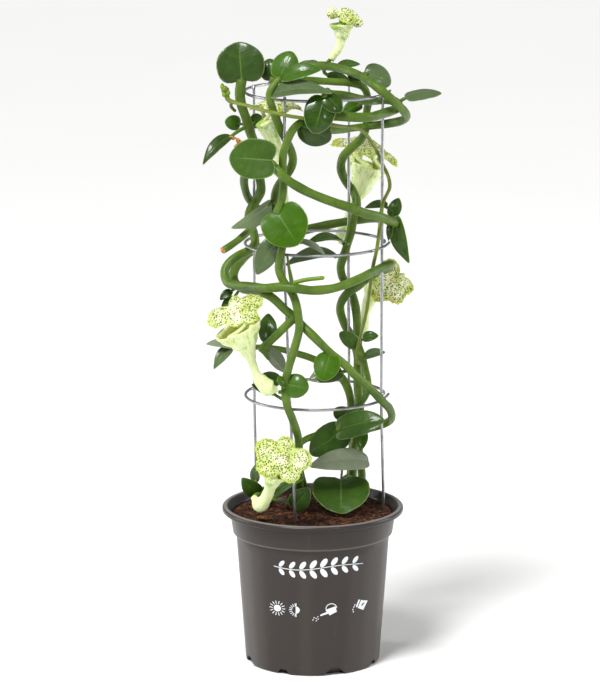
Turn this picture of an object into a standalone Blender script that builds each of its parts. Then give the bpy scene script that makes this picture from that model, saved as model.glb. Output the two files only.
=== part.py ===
# Climbing parachute plant with fleshy heart leaves, twined round a wire cage in a nursery pot.
# Sizes are millimetres here and metres in the model. The origin is the middle of the pot's
# underside, +Z is up, and -Y is the side that the plant is seen from.
import math

import bmesh
import bpy
from mathutils import Vector

MM = 0.001
MERGE = 0.00001
SLIVER = 0.00003

# Pot, a thin moulded shell with a rolled rim, a stepped collar and notches round its foot
RIM_RADIUS = 60.0
RIM_INNER_RADIUS = 56.4
POT_HEIGHT = 105.4
RIM_DEPTH = 3.9
RIM_ROLL = 1.2
COLLAR_RADIUS = 54.6
STEP_HEIGHT = 87.3
STEP_RADIUS = 52.9
BODY_RADIUS = 50.8
FOOT_RADIUS = 44.6
WALL = 1.3
FLOOR = 2.2
FLOOR_RADIUS = 38.0
POT_STEPS = 40
NOTCHES = 8
NOTCH_ANGLE = 19.0
NOTCH_SIZES = ((16.0, 6.0, 5.0), (9.0, 4.5, 3.6))
NOTCH_INNER = (5.8, 0.5)
DRAINS = 4
DRAIN_RADIUS = 3.0
DRAIN_CIRCLE = 27.0

# Soil, which fills the pot to just under its rim
SOIL_EDGE = 100.0
SOIL_CROWN = 101.4
SOIL_GAP = 0.5
SOIL_STEPS = 28
HOLE_GAP = 0.6
ROOT_END = 68.0

# Bark flake on the soil: its half sizes, where it lies and how far it is raised
CHIP_SIZE = (4.2, 3.0, 1.5)
CHIP_SKEW = 1.2
CHIP_PLACE = (-33.0, -24.5)
CHIP_LIFT = 1.2
CHIP_TURN = (0.1, 0.15, 0.6)

# Wire cage: three hoops and four uprights inside them
CAGE_X = 1.7
WIRE_RADIUS = 0.95
HOOP_RADIUS = 46.05
HOOP_HEIGHTS = (180.0, 281.5, 381.5)
HOOP_POINTS = 31
HOOP_START = 99.0
HOOP_SWEEP = 353.0
HOOP_TAIL = 27.0
HOOP_TAIL_OUT = 2.2
UPRIGHT_RADIUS = 43.6
UPRIGHT_TOP = 383.4
UPRIGHT_HEIGHTS = (332.0, 230.0, 174.0)

# Each upright: its angle at the top, middle and lower hoop, then where it enters the soil and
# the height of its foot
UPRIGHTS = {
    "cage_upright_front": (-27.2, -28.0, -22.0, (-11.8, -30.0, 55.0)),
    "cage_upright_right": (94.0, 94.0, 93.0, (47.2, 10.0, 89.0)),
    "cage_upright_back": (149.5, 149.5, 149.0, (19.0, 40.5, 60.0)),
    "cage_upright_left": (-112.6, -112.6, -112.0, (-37.5, 19.0, 55.0)),
}

# Stems and leaves
STEM_STEP = 16.0
STEM_TURN = 27.0
THICK = 2.0
TWIG_STEP = 9.0
STALK_RADIUS = 1.25
SEATED = 4.5
SEAT_DEPTH = 0.85
BLADE = 1.5
LEAF_SIDES = 12
MIDDLE_LEAF = 20.0
MIDDLE_LEAF_SIDES = 10
BROAD_LEAF = 24.0
BROAD_LEAF_SIDES = 16
SMALL_LEAF = 13.0
SMALL_LEAF_SIDES = 8

# Leaf outlines: how far the base lobes reach back, the tip forward, and how the blade bends
FORMS = {
    "heart": {"lobes": 0.17, "tip": 0.03, "fold": 0.05, "arch": 0.05},
    "round": {"lobes": 0.06, "tip": 0.02, "fold": -0.08, "arch": 0.08},
    "oval": {"lobes": 0.04, "tip": 0.08, "fold": 0.10, "arch": 0.08},
    "long": {"lobes": 0.02, "tip": 0.14, "fold": 0.14, "arch": 0.10},
}

# Flower roofs: the share that no notch cuts, how sharply the lobes meet and how round they are
CANOPY_CORE = 0.42
LOBE_BLEND = 6
LOBE_ROUND = 0.6
CANOPY_SIDES = 26
CANOPY_THICK = 0.8
STRUT_BEND = 0.55

# Colours
POT_GREY = (0.085, 0.075, 0.068)
SOIL_BROWN = (0.045, 0.020, 0.010)
BARK_BROWN = (0.30, 0.12, 0.04)
WIRE_GREY = (0.42, 0.42, 0.45)
LEAF_GREEN = (0.045, 0.14, 0.02)
PALE_STEM = (0.16, 0.24, 0.04)
CREAM = (0.75, 0.80, 0.42)


def clear_scene():
    for old in list(bpy.data.objects):
        bpy.data.objects.remove(old, do_unlink=True)


def make_collection(name):
    collection = bpy.data.collections.new(name)
    bpy.context.scene.collection.children.link(collection)
    return collection


def make_material(name, colour, roughness, metallic=0.0):
    material = bpy.data.materials.new(name)
    material.use_nodes = True
    shader = material.node_tree.nodes["Principled BSDF"]
    shader.inputs["Base Color"].default_value = (*colour, 1.0)
    shader.inputs["Roughness"].default_value = roughness
    shader.inputs["Metallic"].default_value = metallic
    return material


def add_object(name, data, collection, material=None):
    made = bpy.data.objects.new(name, data)
    collection.objects.link(made)
    if material is not None:
        data.materials.clear()
        data.materials.append(material)
    return made


def frozen_mesh(made):
    # the object as its modifiers and curve settings shape it
    evaluated = made.evaluated_get(bpy.context.evaluated_depsgraph_get())
    return bpy.data.meshes.new_from_object(evaluated)


def tidy_mesh(mesh, weld_caps):
    # loose caps are welded on, or slivers that a union leaves are dissolved
    work = bmesh.new()
    work.from_mesh(mesh)
    if weld_caps:
        bmesh.ops.remove_doubles(work, verts=work.verts, dist=MERGE)
    else:
        bmesh.ops.dissolve_degenerate(work, dist=SLIVER, edges=work.edges)
        loose = [vert for vert in work.verts if not vert.link_faces]
        bmesh.ops.delete(work, geom=loose, context="VERTS")
    work.to_mesh(mesh)
    work.free()
    return mesh


def along(points, step, turn=STEM_TURN):
    # points on a smooth curve through the given ones, at most a step apart and closer where it bends
    knots = [Vector(p) for p in points]
    knots = [2 * knots[0] - knots[1], *knots, 2 * knots[-1] - knots[-2]]
    fine = []
    for a, b, c, d in zip(knots, knots[1:], knots[2:], knots[3:]):
        pieces = max(2, round((c - b).length / 1.5))
        for i in range(pieces):
            t = i / pieces
            fine.append(0.5 * ((2 * b) + (c - a) * t + (2 * a - 5 * b + 4 * c - d) * t * t
                               + (3 * b - a - 3 * c + d) * t * t * t))
    fine.append(knots[-2])
    kept = [fine[0]]
    gone = 0.0
    bent = 0.0
    for before, here, after in zip(fine, fine[1:], fine[2:]):
        gone += (here - before).length
        bent += (here - before).angle(after - here)
        if gone >= step or bent >= math.radians(turn):
            kept.append(here)
            gone = 0.0
            bent = 0.0
    if gone < 0.3 * step and len(kept) > 2:
        kept.pop()
    kept.append(fine[-1])
    return kept


def shares(points):
    # how far along the whole length each point lies, from 0 to 1
    gone = [0.0]
    for a, b in zip(points, points[1:]):
        gone.append(gone[-1] + (Vector(b) - Vector(a)).length)
    return [g / gone[-1] for g in gone]


def girth_at(girth, share):
    # the radius at a share of the length, from a few (share, radius) pairs
    for (a, low), (b, high) in zip(girth, girth[1:]):
        if share <= b:
            return low + (high - low) * (share - a) / (b - a)
    return girth[-1][1]


def tube(name, points, girth, collection, material=None, roundness=2):
    # a filled tube along the points, as a mesh
    curve = bpy.data.curves.new(name, "CURVE")
    curve.dimensions = "3D"
    curve.bevel_depth = MM
    curve.bevel_resolution = roundness
    curve.use_fill_caps = True
    spline = curve.splines.new("POLY")
    spline.points.add(len(points) - 1)
    for dot, point, share in zip(spline.points, points, shares(points)):
        dot.co = (*(Vector(point) * MM), 1.0)
        dot.radius = girth_at(girth, share)
    drawn = add_object(name + "_route", curve, collection)
    made = add_object(name, tidy_mesh(frozen_mesh(drawn), True), collection, material)
    made.matrix_world = drawn.matrix_world
    bpy.data.objects.remove(drawn, do_unlink=True)
    return made


def turned(name, profile, steps, collection, material):
    # a solid of revolution from an outline of (radius, height) points, outer side first
    mesh = bpy.data.meshes.new(name)
    work = bmesh.new()
    dots = [work.verts.new((radius * MM, 0.0, height * MM)) for radius, height in profile]
    for a, b in zip(dots, dots[1:]):
        work.edges.new((a, b))
    work.to_mesh(mesh)
    work.free()
    made = add_object(name, mesh, collection, material)
    screw = made.modifiers.new("turn", "SCREW")
    screw.steps = steps
    screw.render_steps = steps
    screw.use_merge_vertices = True
    screw.merge_threshold = MERGE
    return made


def cut(made, cutters):
    boolean = made.modifiers.new("cuts", "BOOLEAN")
    boolean.operation = "DIFFERENCE"
    boolean.operand_type = "COLLECTION"
    boolean.collection = cutters


def hide_cutter(made):
    made.hide_render = True
    made.display_type = "WIRE"


def cylinder_cutter(name, x, y, low, high, radius, sides, cutters):
    mesh = bpy.data.meshes.new(name)
    work = bmesh.new()
    bmesh.ops.create_cone(work, cap_ends=True, segments=sides, radius1=radius * MM,
                          radius2=radius * MM, depth=(high - low) * MM)
    work.to_mesh(mesh)
    work.free()
    made = add_object(name, mesh, cutters)
    made.location = Vector((x, y, (low + high) / 2)) * MM
    hide_cutter(made)


def fuse(name, pieces, material):
    # one closed body from pieces that run into each other
    first, *rest = pieces
    joined = bpy.data.collections.new(name + "_pieces")
    bpy.context.scene.collection.children.link(joined)
    for piece in rest:
        joined.objects.link(piece)
    boolean = first.modifiers.new("union", "BOOLEAN")
    boolean.operation = "UNION"
    boolean.operand_type = "COLLECTION"
    boolean.solver = "MANIFOLD"
    boolean.collection = joined
    bpy.context.view_layer.update()
    mesh = tidy_mesh(frozen_mesh(first), False)
    home = first.users_collection[0]
    for piece in pieces:
        bpy.data.objects.remove(piece, do_unlink=True)
    bpy.data.collections.remove(joined)
    return add_object(name, mesh, home, material)


def pot_profile():
    rim_top = POT_HEIGHT
    collar_top = rim_top - RIM_DEPTH - 0.3
    return (
        (RIM_RADIUS - RIM_ROLL, rim_top), (RIM_RADIUS, rim_top - RIM_ROLL + 0.1),
        (RIM_RADIUS, rim_top - RIM_DEPTH + 0.6),
        (RIM_RADIUS - 0.7, rim_top - RIM_DEPTH), (COLLAR_RADIUS, collar_top),
        (STEP_RADIUS, STEP_HEIGHT + 0.2), (BODY_RADIUS, STEP_HEIGHT - 0.6), (FOOT_RADIUS, 1.2),
        (FOOT_RADIUS - 1.0, 0.0), (0.0, 0.0), (0.0, FLOOR), (FLOOR_RADIUS, FLOOR),
        (FOOT_RADIUS - WALL + 0.3, 7.0),
        (BODY_RADIUS - WALL, STEP_HEIGHT - 1.8), (STEP_RADIUS - WALL + 0.1, STEP_HEIGHT + 1.2),
        (COLLAR_RADIUS - WALL, collar_top - 0.2), (RIM_INNER_RADIUS, rim_top),
        (RIM_RADIUS - RIM_ROLL, rim_top),
    )


def notch_cutter(name, angle, wide, narrow, high, cutters):
    # a wedge that lifts the pot's lower edge: wide at the table, narrow at its top
    mesh = bpy.data.meshes.new(name)
    work = bmesh.new()
    bmesh.ops.create_cube(work, size=2.0)
    for vert in work.verts:
        top = vert.co.z > 0
        across = (narrow if top else wide + 1.0) / 2
        inner = FOOT_RADIUS - NOTCH_INNER[1 if top else 0]
        vert.co.x *= across * MM
        vert.co.y = -(FOOT_RADIUS + 3.0) * MM if vert.co.y < 0 else -inner * MM
        vert.co.z = high * MM if top else -0.3 * MM
    work.to_mesh(mesh)
    work.free()
    made = add_object(name, mesh, cutters)
    made.rotation_euler.z = math.radians(angle)
    hide_cutter(made)


def make_pot(parts, material):
    cutters = make_collection("pot_cutters")
    for i in range(NOTCHES):
        angle = NOTCH_ANGLE + 360 / NOTCHES * i
        wide, narrow, high = NOTCH_SIZES[i % 2]
        notch_cutter(f"notch_{i + 1}", angle, wide, narrow, high, cutters)
    for i in range(DRAINS):
        angle = math.radians(NOTCH_ANGLE + 360 / DRAINS * i)
        x, y = DRAIN_CIRCLE * math.sin(angle), -DRAIN_CIRCLE * math.cos(angle)
        cylinder_cutter(f"drain_{i + 1}", x, y, -1.0, FLOOR + 1.0, DRAIN_RADIUS, 10, cutters)
    pot = turned("pot", pot_profile(), POT_STEPS, parts, material)
    cut(pot, cutters)


def make_soil(parts, material, holes):
    cutters = make_collection("soil_cutters")
    for i, (x, y, radius, low) in enumerate(holes):
        cylinder_cutter(f"hole_{i + 1}", x, y, low - 1.0, SOIL_CROWN + 3.0, radius + HOLE_GAP, 8, cutters)
    profile = (
        (0.0, SOIL_CROWN), (26.0, SOIL_CROWN - 0.2), (44.0, SOIL_EDGE + 0.5),
        (COLLAR_RADIUS - WALL - SOIL_GAP - 0.2, SOIL_EDGE),
        (STEP_RADIUS - WALL - SOIL_GAP, STEP_HEIGHT + 2.0),
        (BODY_RADIUS - WALL - SOIL_GAP, STEP_HEIGHT - 1.4), (FOOT_RADIUS - WALL - SOIL_GAP + 0.3, 7.5),
        (FLOOR_RADIUS - SOIL_GAP, FLOOR + SOIL_GAP), (0.0, FLOOR + SOIL_GAP),
    )
    soil = turned("soil", profile, SOIL_STEPS, parts, material)
    cut(soil, cutters)


def make_chip(parts, material):
    # a flake of bark that lies on the soil near the front
    mesh = bpy.data.meshes.new("bark_chip")
    work = bmesh.new()
    bmesh.ops.create_uvsphere(work, u_segments=7, v_segments=4, radius=1.0)
    for vert in work.verts:
        vert.co.x = vert.co.x + vert.co.y * CHIP_SKEW / CHIP_SIZE[0]
    bmesh.ops.scale(work, vec=Vector(CHIP_SIZE) * MM, verts=work.verts)
    work.to_mesh(mesh)
    work.free()
    chip = add_object("bark_chip", mesh, parts, material)
    chip.location = Vector((*CHIP_PLACE, SOIL_CROWN + CHIP_LIFT)) * MM
    chip.rotation_euler = CHIP_TURN


def cage_point(angle, radius, height):
    turn = math.radians(angle)
    return Vector((CAGE_X + radius * math.sin(turn), -radius * math.cos(turn), height))


def make_cage(parts, material):
    # each hoop is one wire whose last stretch leaves the circle past the right upright
    for label, height in zip(("lower", "middle", "top"), HOOP_HEIGHTS):
        points = []
        for i in range(HOOP_POINTS):
            turned_by = HOOP_SWEEP * i / (HOOP_POINTS - 1)
            leaving = max(0.0, 1.0 - (HOOP_SWEEP - turned_by) / HOOP_TAIL)
            radius = HOOP_RADIUS + HOOP_TAIL_OUT * leaving * leaving
            points.append(cage_point(HOOP_START + turned_by, radius, height))
        tube(f"cage_hoop_{label}", points, ((0.0, WIRE_RADIUS), (1.0, WIRE_RADIUS)), parts, material, 1)
    for name, (top, middle, lower, foot) in UPRIGHTS.items():
        points = [
            cage_point(top, UPRIGHT_RADIUS, UPRIGHT_TOP),
            cage_point((top + middle) / 2, UPRIGHT_RADIUS, UPRIGHT_HEIGHTS[0]),
            cage_point(middle, UPRIGHT_RADIUS, HOOP_HEIGHTS[1]),
            cage_point((middle + lower) / 2, UPRIGHT_RADIUS, UPRIGHT_HEIGHTS[1]),
            cage_point(lower, UPRIGHT_RADIUS, UPRIGHT_HEIGHTS[2]),
        ]
        above = Vector((foot[0], foot[1], SOIL_CROWN + 3))
        points.append(points[-1].lerp(above, 0.55))
        points.append(above)
        points.append(Vector(foot))
        tube(name, points, ((0.0, WIRE_RADIUS), (1.0, WIRE_RADIUS)), parts, material, 1)


def leaf_sides(length, width):
    if length < SMALL_LEAF:
        return SMALL_LEAF_SIDES
    if width > BROAD_LEAF:
        return BROAD_LEAF_SIDES
    return MIDDLE_LEAF_SIDES if length < MIDDLE_LEAF else LEAF_SIDES


def leaf(name, base, tip, facing, width, form, collection):
    # a fleshy blade: a ball flattened to the leaf's outline, then folded and arched
    shape = FORMS[form]
    length = (tip - base).length
    sides = leaf_sides(length, width)
    ahead = (tip - base).normalized()
    up = Vector(facing)
    up = (up - ahead * up.dot(ahead)).normalized()
    side = ahead.cross(up)
    work = bmesh.new()
    rows = 4 if sides >= LEAF_SIDES else 3
    bmesh.ops.create_uvsphere(work, u_segments=sides, v_segments=rows, radius=1.0)
    rim = math.sin(math.pi * (rows // 2) / rows)
    for vert in work.verts:
        reach = math.hypot(vert.co.x, vert.co.y) / rim
        turn = math.atan2(vert.co.x, vert.co.y)
        across = 0.5 * width * math.sin(turn) * (1.0 - 0.14 * math.cos(turn))
        out = length * (0.5 + 0.5 * math.cos(turn))
        out -= 2 * shape["lobes"] * length * max(0.0, -math.cos(turn)) * abs(math.sin(turn))
        out += shape["tip"] * length * max(0.0, math.cos(turn)) ** 12
        u = reach * across
        v = 0.5 * length + reach * (out - 0.5 * length)
        w = vert.co.z * 0.5 * BLADE * (1.0 if reach < 0.9 else 1.3)
        w += shape["fold"] * (2 * abs(u) / width) ** 1.5 * width
        w += shape["arch"] * length * 4 * (v / length) * (1 - v / length)
        vert.co = (base + side * u + ahead * v + up * w) * MM
    mesh = bpy.data.meshes.new(name)
    work.to_mesh(mesh)
    work.free()
    return add_object(name, mesh, collection)


def stalk(name, start, base, tip, collection, size):
    # a leaf stalk from the middle of the stem into the blade
    ahead = (tip - base).normalized()
    sunk = base + ahead * min(3.0, 0.25 * (tip - base).length)
    middle = start.lerp(base, 0.6) - ahead * min(1.5, 0.15 * (start - base).length)
    points = along((start, middle, sunk), 9.0)
    return tube(name, points, ((0.0, size), (1.0, 0.85 * size)), collection, roundness=0)


# Each vine: its main stem's points and girth, side stems, and its leaves. A leaf is given by
# the base and tip of its blade, the way its upper face looks, its width and its form.
VINES = {
    "vine_front": {
        "rooted": True,
        "stem": [
            (-8, 13, 103), (-9, -3, 122), (-9.5, -20, 140), (-9.5, -35, 158), (-13, -46, 173),
            (-17, -50.5, 185), (-18, -49, 197), (-16, -49, 208), (-12, -51, 222), (-9, -52, 235),
            (-10, -52, 247), (-13, -50, 257), (-19, -46.5, 265), (-22, -45.5, 273), (-21, -46.5, 282),
            (-20, -45, 289), (-23.5, -41, 297), (-25, -34, 305), (-25, -29, 313), (-24, -28, 321),
            (-20, -30, 328), (-15, -32, 335), (-13, -32, 342), (-15, -33, 350), (-19, -34, 358),
            (-22.5, -37.5, 366), (-26, -44, 377), (-28, -46, 386), (-25, -44, 392), (-21, -42, 396),
        ],
        "girth": ((0.0, 2.7), (0.9, 2.7), (1.0, 2.2)),
        "twigs": [
            ([(-13, -50, 257), (-14, -48.5, 266), (-15.5, -47.5, 274), (-16.5, -47.5, 281)], (1.7, 0.8)),
            ([(-14, -48.5, 264), (-5, -49, 266.5), (6, -50, 268)], (1.5, 1.3)),
            ([(-18, -49, 193), (-21.4, -51.2, 193.2)], (1.3, 1.3)),
            ([(-17, -50, 187), (-22, -44, 188), (-27, -42, 191)], (1.1, 1.0)),
        ],
        "leaves": [
            ((-21, -42, 395), (-14, -36, 412), (-0.3, -0.9, 0.2), 18, "round"),
            ((-19, -44, 396), (3, -46, 402), (0.0, -0.7, 0.7), 13, "oval"),
            ((-9, -30, 402), (2, -22, 404), (0.0, 0.2, 1.0), 8, "oval"),
            ((-24, -48, 385), (7, -53, 389), (0.0, -0.55, 0.83), 15, "long"),
            ((-27, -33, 314), (-49, -22, 297), (0.2, 0.75, -0.6), 13, "long"),
            ((-22, -38, 292), (-35.5, -42, 270.5), (-0.2, -0.9, 0.35), 15, "oval"),
            ((-10, -38, 290), (7, -36, 281), (0.0, -0.5, 0.8), 6, "long"),
            ((-21, -45, 199), (-35, -42, 200.5), (0.0, -0.9, 0.4), 10, "oval"),
            ((-26, -42, 191), (-39, -38, 195), (0.0, -0.9, 0.3), 6, "oval"),
            ((-17, -52, 200), (-23, -55, 200.5), (-0.2, -0.9, 0.4), 9, "round"),
            ((-16, -51, 198), (-3, -53, 196), (0.1, -0.95, 0.3), 16, "round"),
            ((-13, -8, 105), (-3, -10, 118), (0.0, -1.0, 0.2), 14, "oval"),
        ],
    },
    "vine_hoops": {
        "rooted": True,
        "stem": [
            (-3, 24, 103), (-6, 6, 119), (-9, -7, 135), (-10, -8, 144), (-6, -1, 149),
            (5, 8, 151), (18, 13, 152), (31, 12, 153), (43, 11, 156), (50.5, 8, 160), (52, -6, 167),
            (50, -16.5, 174.5), (46.5, -25, 180), (40.5, -33, 188), (34, -39, 196), (27, -44.5, 203),
            (21, -48, 210), (11, -50.5, 219), (1, -50.5, 229), (-7, -46, 236), (-12, -44.3, 241),
            (-18, -44.3, 246), (-25, -45, 253), (-31, -42, 256), (-41, -29, 255.5), (-47, -17, 255),
            (-51, -4, 256.5), (-52, 8, 260), (-48, 21, 265), (-40, 33, 270), (-25, 45, 274),
            (-8, 50.8, 280), (8, 50.8, 284), (25, 46, 288), (38, 38.5, 291), (47, 26, 293), (53, 12, 294),
            (54, -2, 295), (51, -15, 298), (44, -30, 304), (33, -41, 308.5), (24, -47, 313), (14, -51, 317),
            (4, -52.5, 321), (-5, -52.5, 325), (-15, -52.5, 331), (-22, -51.5, 337), (-28, -45, 342),
            (-33, -36, 344), (-39, -22, 341), (-43, -8, 332), (-45, 5, 322), (-44, 15, 313),
            (-42, 22.5, 307), (-38, 23.5, 302), (-34, 19, 299), (-34, 8, 297), (-38, -3, 294.5),
            (-41, -9, 292), (-47, -18, 288), (-54, -25, 284), (-58, -28, 282),
        ],
        "girth": ((0.0, 2.2), (0.1, 2.0), (0.16, 2.7), (0.55, 2.9), (0.8, 3.0), (1.0, 2.3)),
        "twigs": [
            ([(-12, -44.3, 241), (-19, -45, 234), (-25, -44.5, 228), (-33, -42, 220)], (2.7, 2.7)),
            ([(-33, -42, 220), (-31, -42, 216), (-29, -42, 213.5)], (1.4, 1.2)),
        ],
        "leaves": [
            ((-26, -54, 345), (-53, -44, 345), (0.0, -0.95, 0.25), 26, "heart"),
            ((-53, -16, 253), (-60, -20, 248), (-0.3, -0.9, 0.3), 6, "oval"),
            ((-51, -14, 248), (-59, -18, 243), (-0.3, -0.9, 0.3), 6, "oval"),
            ((49, 10, 305), (35, 12, 303), (0.0, -0.5, 0.85), 8, "oval"),
            ((51, 6, 298), (56, 9, 309), (0.1, -0.95, 0.2), 9, "oval"),
            ((54, -2, 300), (61, -7, 273), (-0.5, -0.85, 0.2), 12, "long"),
            ((49, -18, 296), (49, -20, 288), (0.0, -1.0, 0.0), 4.5, "long"),
            ((-30, -39, 225), (-29, -33, 240), (0.0, -0.95, -0.2), 12, "oval"),
            ((-30, -38, 219), (-19, -34, 204), (0.3, -0.9, 0.2), 10, "long"),
            ((11, -54, 218), (6, -61, 203), (0.0, -0.85, 0.5), 17, "round"),
            ((19, -46, 205), (-1, -52, 202), (0.0, -0.75, 0.65), 14, "oval"),
            ((20, 9, 152), (-1, -5, 141), (-0.1, -0.95, 0.3), 21, "heart"),
            ((33, 8, 152), (32, 4, 142), (0.0, -1.0, 0.1), 8, "oval"),
        ],
    },
    "vine_low": {
        "rooted": True,
        "stem": [
            (23, 32, 103), (25, 31, 114), (26.5, 32, 129), (27, 32.5, 141), (27, 32.5, 154),
            (26, 33, 165), (24, 33, 175), (20, 34, 183), (12, 36.5, 190), (0, 38, 196), (-12, 37.5, 200),
            (-24, 32.5, 204), (-36, 28, 206), (-47, 20, 207), (-55, 10, 210),
        ],
        "girth": ((0.0, 2.7), (0.5, 2.8), (1.0, 1.6)),
        "twigs": [],
        "leaves": [
            ((-53, 11, 211), (-69, 5, 213), (-0.1, -0.6, 0.8), 8, "oval"),
            ((-53, 10, 209), (-64, 2, 199), (-0.3, -0.8, 0.4), 9, "long"),
            ((24, 23, 159), (15, 16, 167), (-0.3, -0.9, 0.1), 12, "round"),
        ],
    },
    "vine_back": {
        "rooted": True,
        "stem": [
            (26, 24, 103), (26.5, 20, 117), (27, 22.5, 131), (28.5, 24, 143), (30, 26, 154),
            (31.5, 27.5, 163), (31, 28.5, 171), (30, 29.5, 180), (30, 31, 190), (30, 33, 200),
            (30, 34.5, 209), (29.5, 38, 222), (28.5, 40.5, 231), (26, 43, 239), (22, 43, 246),
            (19.2, 40, 253), (18.7, 36, 260), (21, 33, 268), (23, 32.3, 275), (25, 32.5, 282),
            (26.5, 32.8, 290), (28.5, 34.5, 297), (29, 38.5, 303), (26.5, 42.8, 309), (22, 43.3, 315),
            (18.7, 39.5, 324), (20, 33.5, 333), (26, 31, 340), (32, 29, 346), (35, 25, 354), (35, 20, 364),
            (36, 16, 373), (33, 14, 382), (24, 14, 385), (14, 12, 386), (5, 8, 387), (-8, 2, 388.5),
            (-21, -6, 389.5), (-28, -9, 390),
        ],
        "girth": ((0.0, 2.9), (0.7, 2.9), (0.85, 2.4), (1.0, 2.4)),
        "twigs": [
            ([(30, 34, 208), (33, 26, 201), (35, 24, 193), (37, 22, 185), (36.5, 18, 178), (33, 14, 172),
              (26, 8, 167), (20, 2, 162), (17, -2, 157)], (2.1, 1.9)),
            ([(35, 24, 355), (47, 20, 357), (57, 10, 360.5), (60.5, -2, 365), (59, -14, 370),
              (54, -24, 376.5), (46, -28, 384), (38.5, -24, 389.5), (34, -14, 391), (30.5, -2, 392),
              (21, 14, 393.5), (11, 24, 394.5), (1, 30, 394), (-8, 30, 393), (-18, 26, 391.5)], (2.8, 2.8)),
            ([(8, 26, 394), (9.6, 25.3, 397), (11.2, 25.6, 398.5)], (1.2, 1.2)),
            ([(35, 24, 355), (24, 17, 354.5), (14, 3, 355.5), (4, -14, 360), (-3, -30, 366),
              (-8, -40, 367), (-13, -44, 363), (-16.5, -44, 356), (-19, -43.7, 348), (-19.5, -43.7, 339),
              (-19, -44, 329), (-20, -46, 319), (-23, -48, 311)], (2.4, 2.6)),
            ([(-3, -30, 366), (3, -34, 370), (12, -40, 371.5), (23, -42.5, 371), (36, -36, 370),
              (46, -22, 370.5), (53.5, -7, 371), (55.5, 5, 372), (51.5, 10.5, 374), (45.5, 11, 374.5),
              (39.5, 6.5, 374.5), (35.5, -8, 376.5), (27, -17, 379.5), (18.5, -26, 382.5), (11, -32, 384)],
             (3.1, 3.0)),
            ([(12, -31, 384), (9, -41, 388.5), (7, -49, 387.5), (7, -51, 385.5)], (1.4, 1.2)),
        ],
        "leaves": [
            ((-27, -7, 391), (-28.5, -3, 403), (0.0, -0.95, 0.2), 14, "round"),
            ((10, -51, 387), (17.5, -54, 376), (0.2, -0.85, 0.5), 13, "round"),
            ((5, -51, 385), (0.5, -58, 363), (0.1, -0.95, 0.25), 20, "round"),
            ((-7, -41, 364), (11, -44, 357), (0.0, -0.97, -0.1), 20, "round"),
            ((16, 26, 393), (30, 32, 395), (0.0, -0.5, 0.85), 9, "oval"),
            ((9, 30, 387), (23, 34, 385), (0.0, -0.5, 0.85), 8, "oval"),
            ((31, 12, 386), (23, 16, 391), (0.0, -0.8, 0.5), 7, "oval"),
            ((31, -5, 374), (19, -13, 369), (0.0, -0.8, 0.5), 9, "oval"),
            ((34, 40, 389.5), (51, 40, 380.5), (-0.1, -0.85, 0.5), 17, "round"),
            ((60, 0, 378), (83, 3, 380), (0.0, -0.2, 1.0), 20, "round"),
            ((-24, -51, 308), (-10, -56, 291), (0.0, -1.0, 0.15), 30, "heart"),
            ((17, 24, 268), (-14, 4, 268), (0.0, -0.45, 0.9), 14, "long"),
            ((22, 26, 276), (-1, 2, 282), (0.0, -0.4, 0.9), 12, "long"),
            ((27, 30, 206), (18, 27, 216), (0.0, -0.9, 0.2), 10, "round"),
            ((33, 28, 212), (43, 26, 214), (0.0, -0.8, 0.6), 8, "oval"),
            ((35, 24, 200), (47, 20, 204), (0.0, -0.6, 0.8), 9, "oval"),
            ((19, -4, 156), (46, -10, 165), (0.0, -0.75, 0.65), 19, "heart"),
            ((37, 2, 134.5), (1, -14, 135.5), (0.0, -0.75, 0.65), 17, "oval"),
            ((18.8, 6, 121), (18.5, -20, 104.5), (0.0, -0.53, 0.85), 38, "heart"),
        ],
    },
    "vine_loop": {
        "rooted": True,
        "stem": [
            (32, 30, 103), (33, 37, 117), (31.5, 42, 129), (31, 46, 145), (32, 50, 159),
            (33, 51, 170), (32, 50.5, 182), (30, 47, 197), (26.5, 43.5, 209), (22, 43, 217),
            (18.8, 40.5, 226), (18.5, 36, 233), (21, 32.8, 239), (25, 32, 243.5), (30, 34.5, 246),
            (35, 37, 250), (42, 30, 256), (48, 14, 261.5), (51, -2, 267.5), (48, -16, 269.5),
            (39, -31.5, 268.5), (30, -42, 266), (20, -48, 263), (11, -51, 261), (-1, -53.5, 260.5),
            (-11, -57, 262.5), (-20, -55, 263), (-31, -48.5, 261), (-41, -37, 260), (-50, -27, 258.5),
            (-56, -19, 259.5), (-57.5, -14, 265), (-55, -11, 270), (-49, -8, 274.5), (-42.5, -3, 276.8),
            (-38, 2, 280.5), (-39, 6, 288), (-42, 7, 295), (-41, 9, 302), (-37, 12, 308), (-34, 10, 315),
            (-35, 6, 325), (-38, 0, 336), (-38, -5, 347), (-41, -9, 357), (-43, -12, 365),
            (-46, -14.5, 374), (-47.2, -14.5, 382), (-46, -13, 391),
        ],
        "girth": ((0.0, 2.8), (0.8, 2.9), (0.92, 3.3), (1.0, 3.2)),
        "twigs": [],
        "leaves": [
            ((-46, -14, 391), (-48, -7, 414), (0.0, -1.0, 0.2), 31, "heart"),
            ((-47, -4, 361), (-57, -9, 363), (-0.2, -0.95, 0.2), 10, "round"),
            ((-40, 2, 361), (-32, 8, 362), (0.2, -0.95, 0.2), 10, "round"),
            ((-53, -16, 355), (-69, -28, 341), (-0.5, -0.8, 0.3), 10, "long"),
        ],
    },
    "young_shoot": {
        "rooted": True,
        "stem": [
            (-29, 22, 103), (-30, 14, 107), (-34, 8, 111), (-37, -4, 113), (-38.2, -16, 115),
            (-38.5, -26, 116.5),
        ],
        "girth": ((0.0, 1.8), (1.0, 1.4)),
        "twigs": [],
        "leaves": [
            ((-36, 2, 113), (-46, -6, 124), (-0.4, -0.8, 0.4), 12, "oval"),
            ((-38, 10, 118), (-38, 11, 129), (-0.3, -0.9, 0.2), 7, "oval"),
            ((-26, 0, 110), (-9, -13, 125), (-0.3, -0.7, 0.6), 8, "long"),
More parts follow.
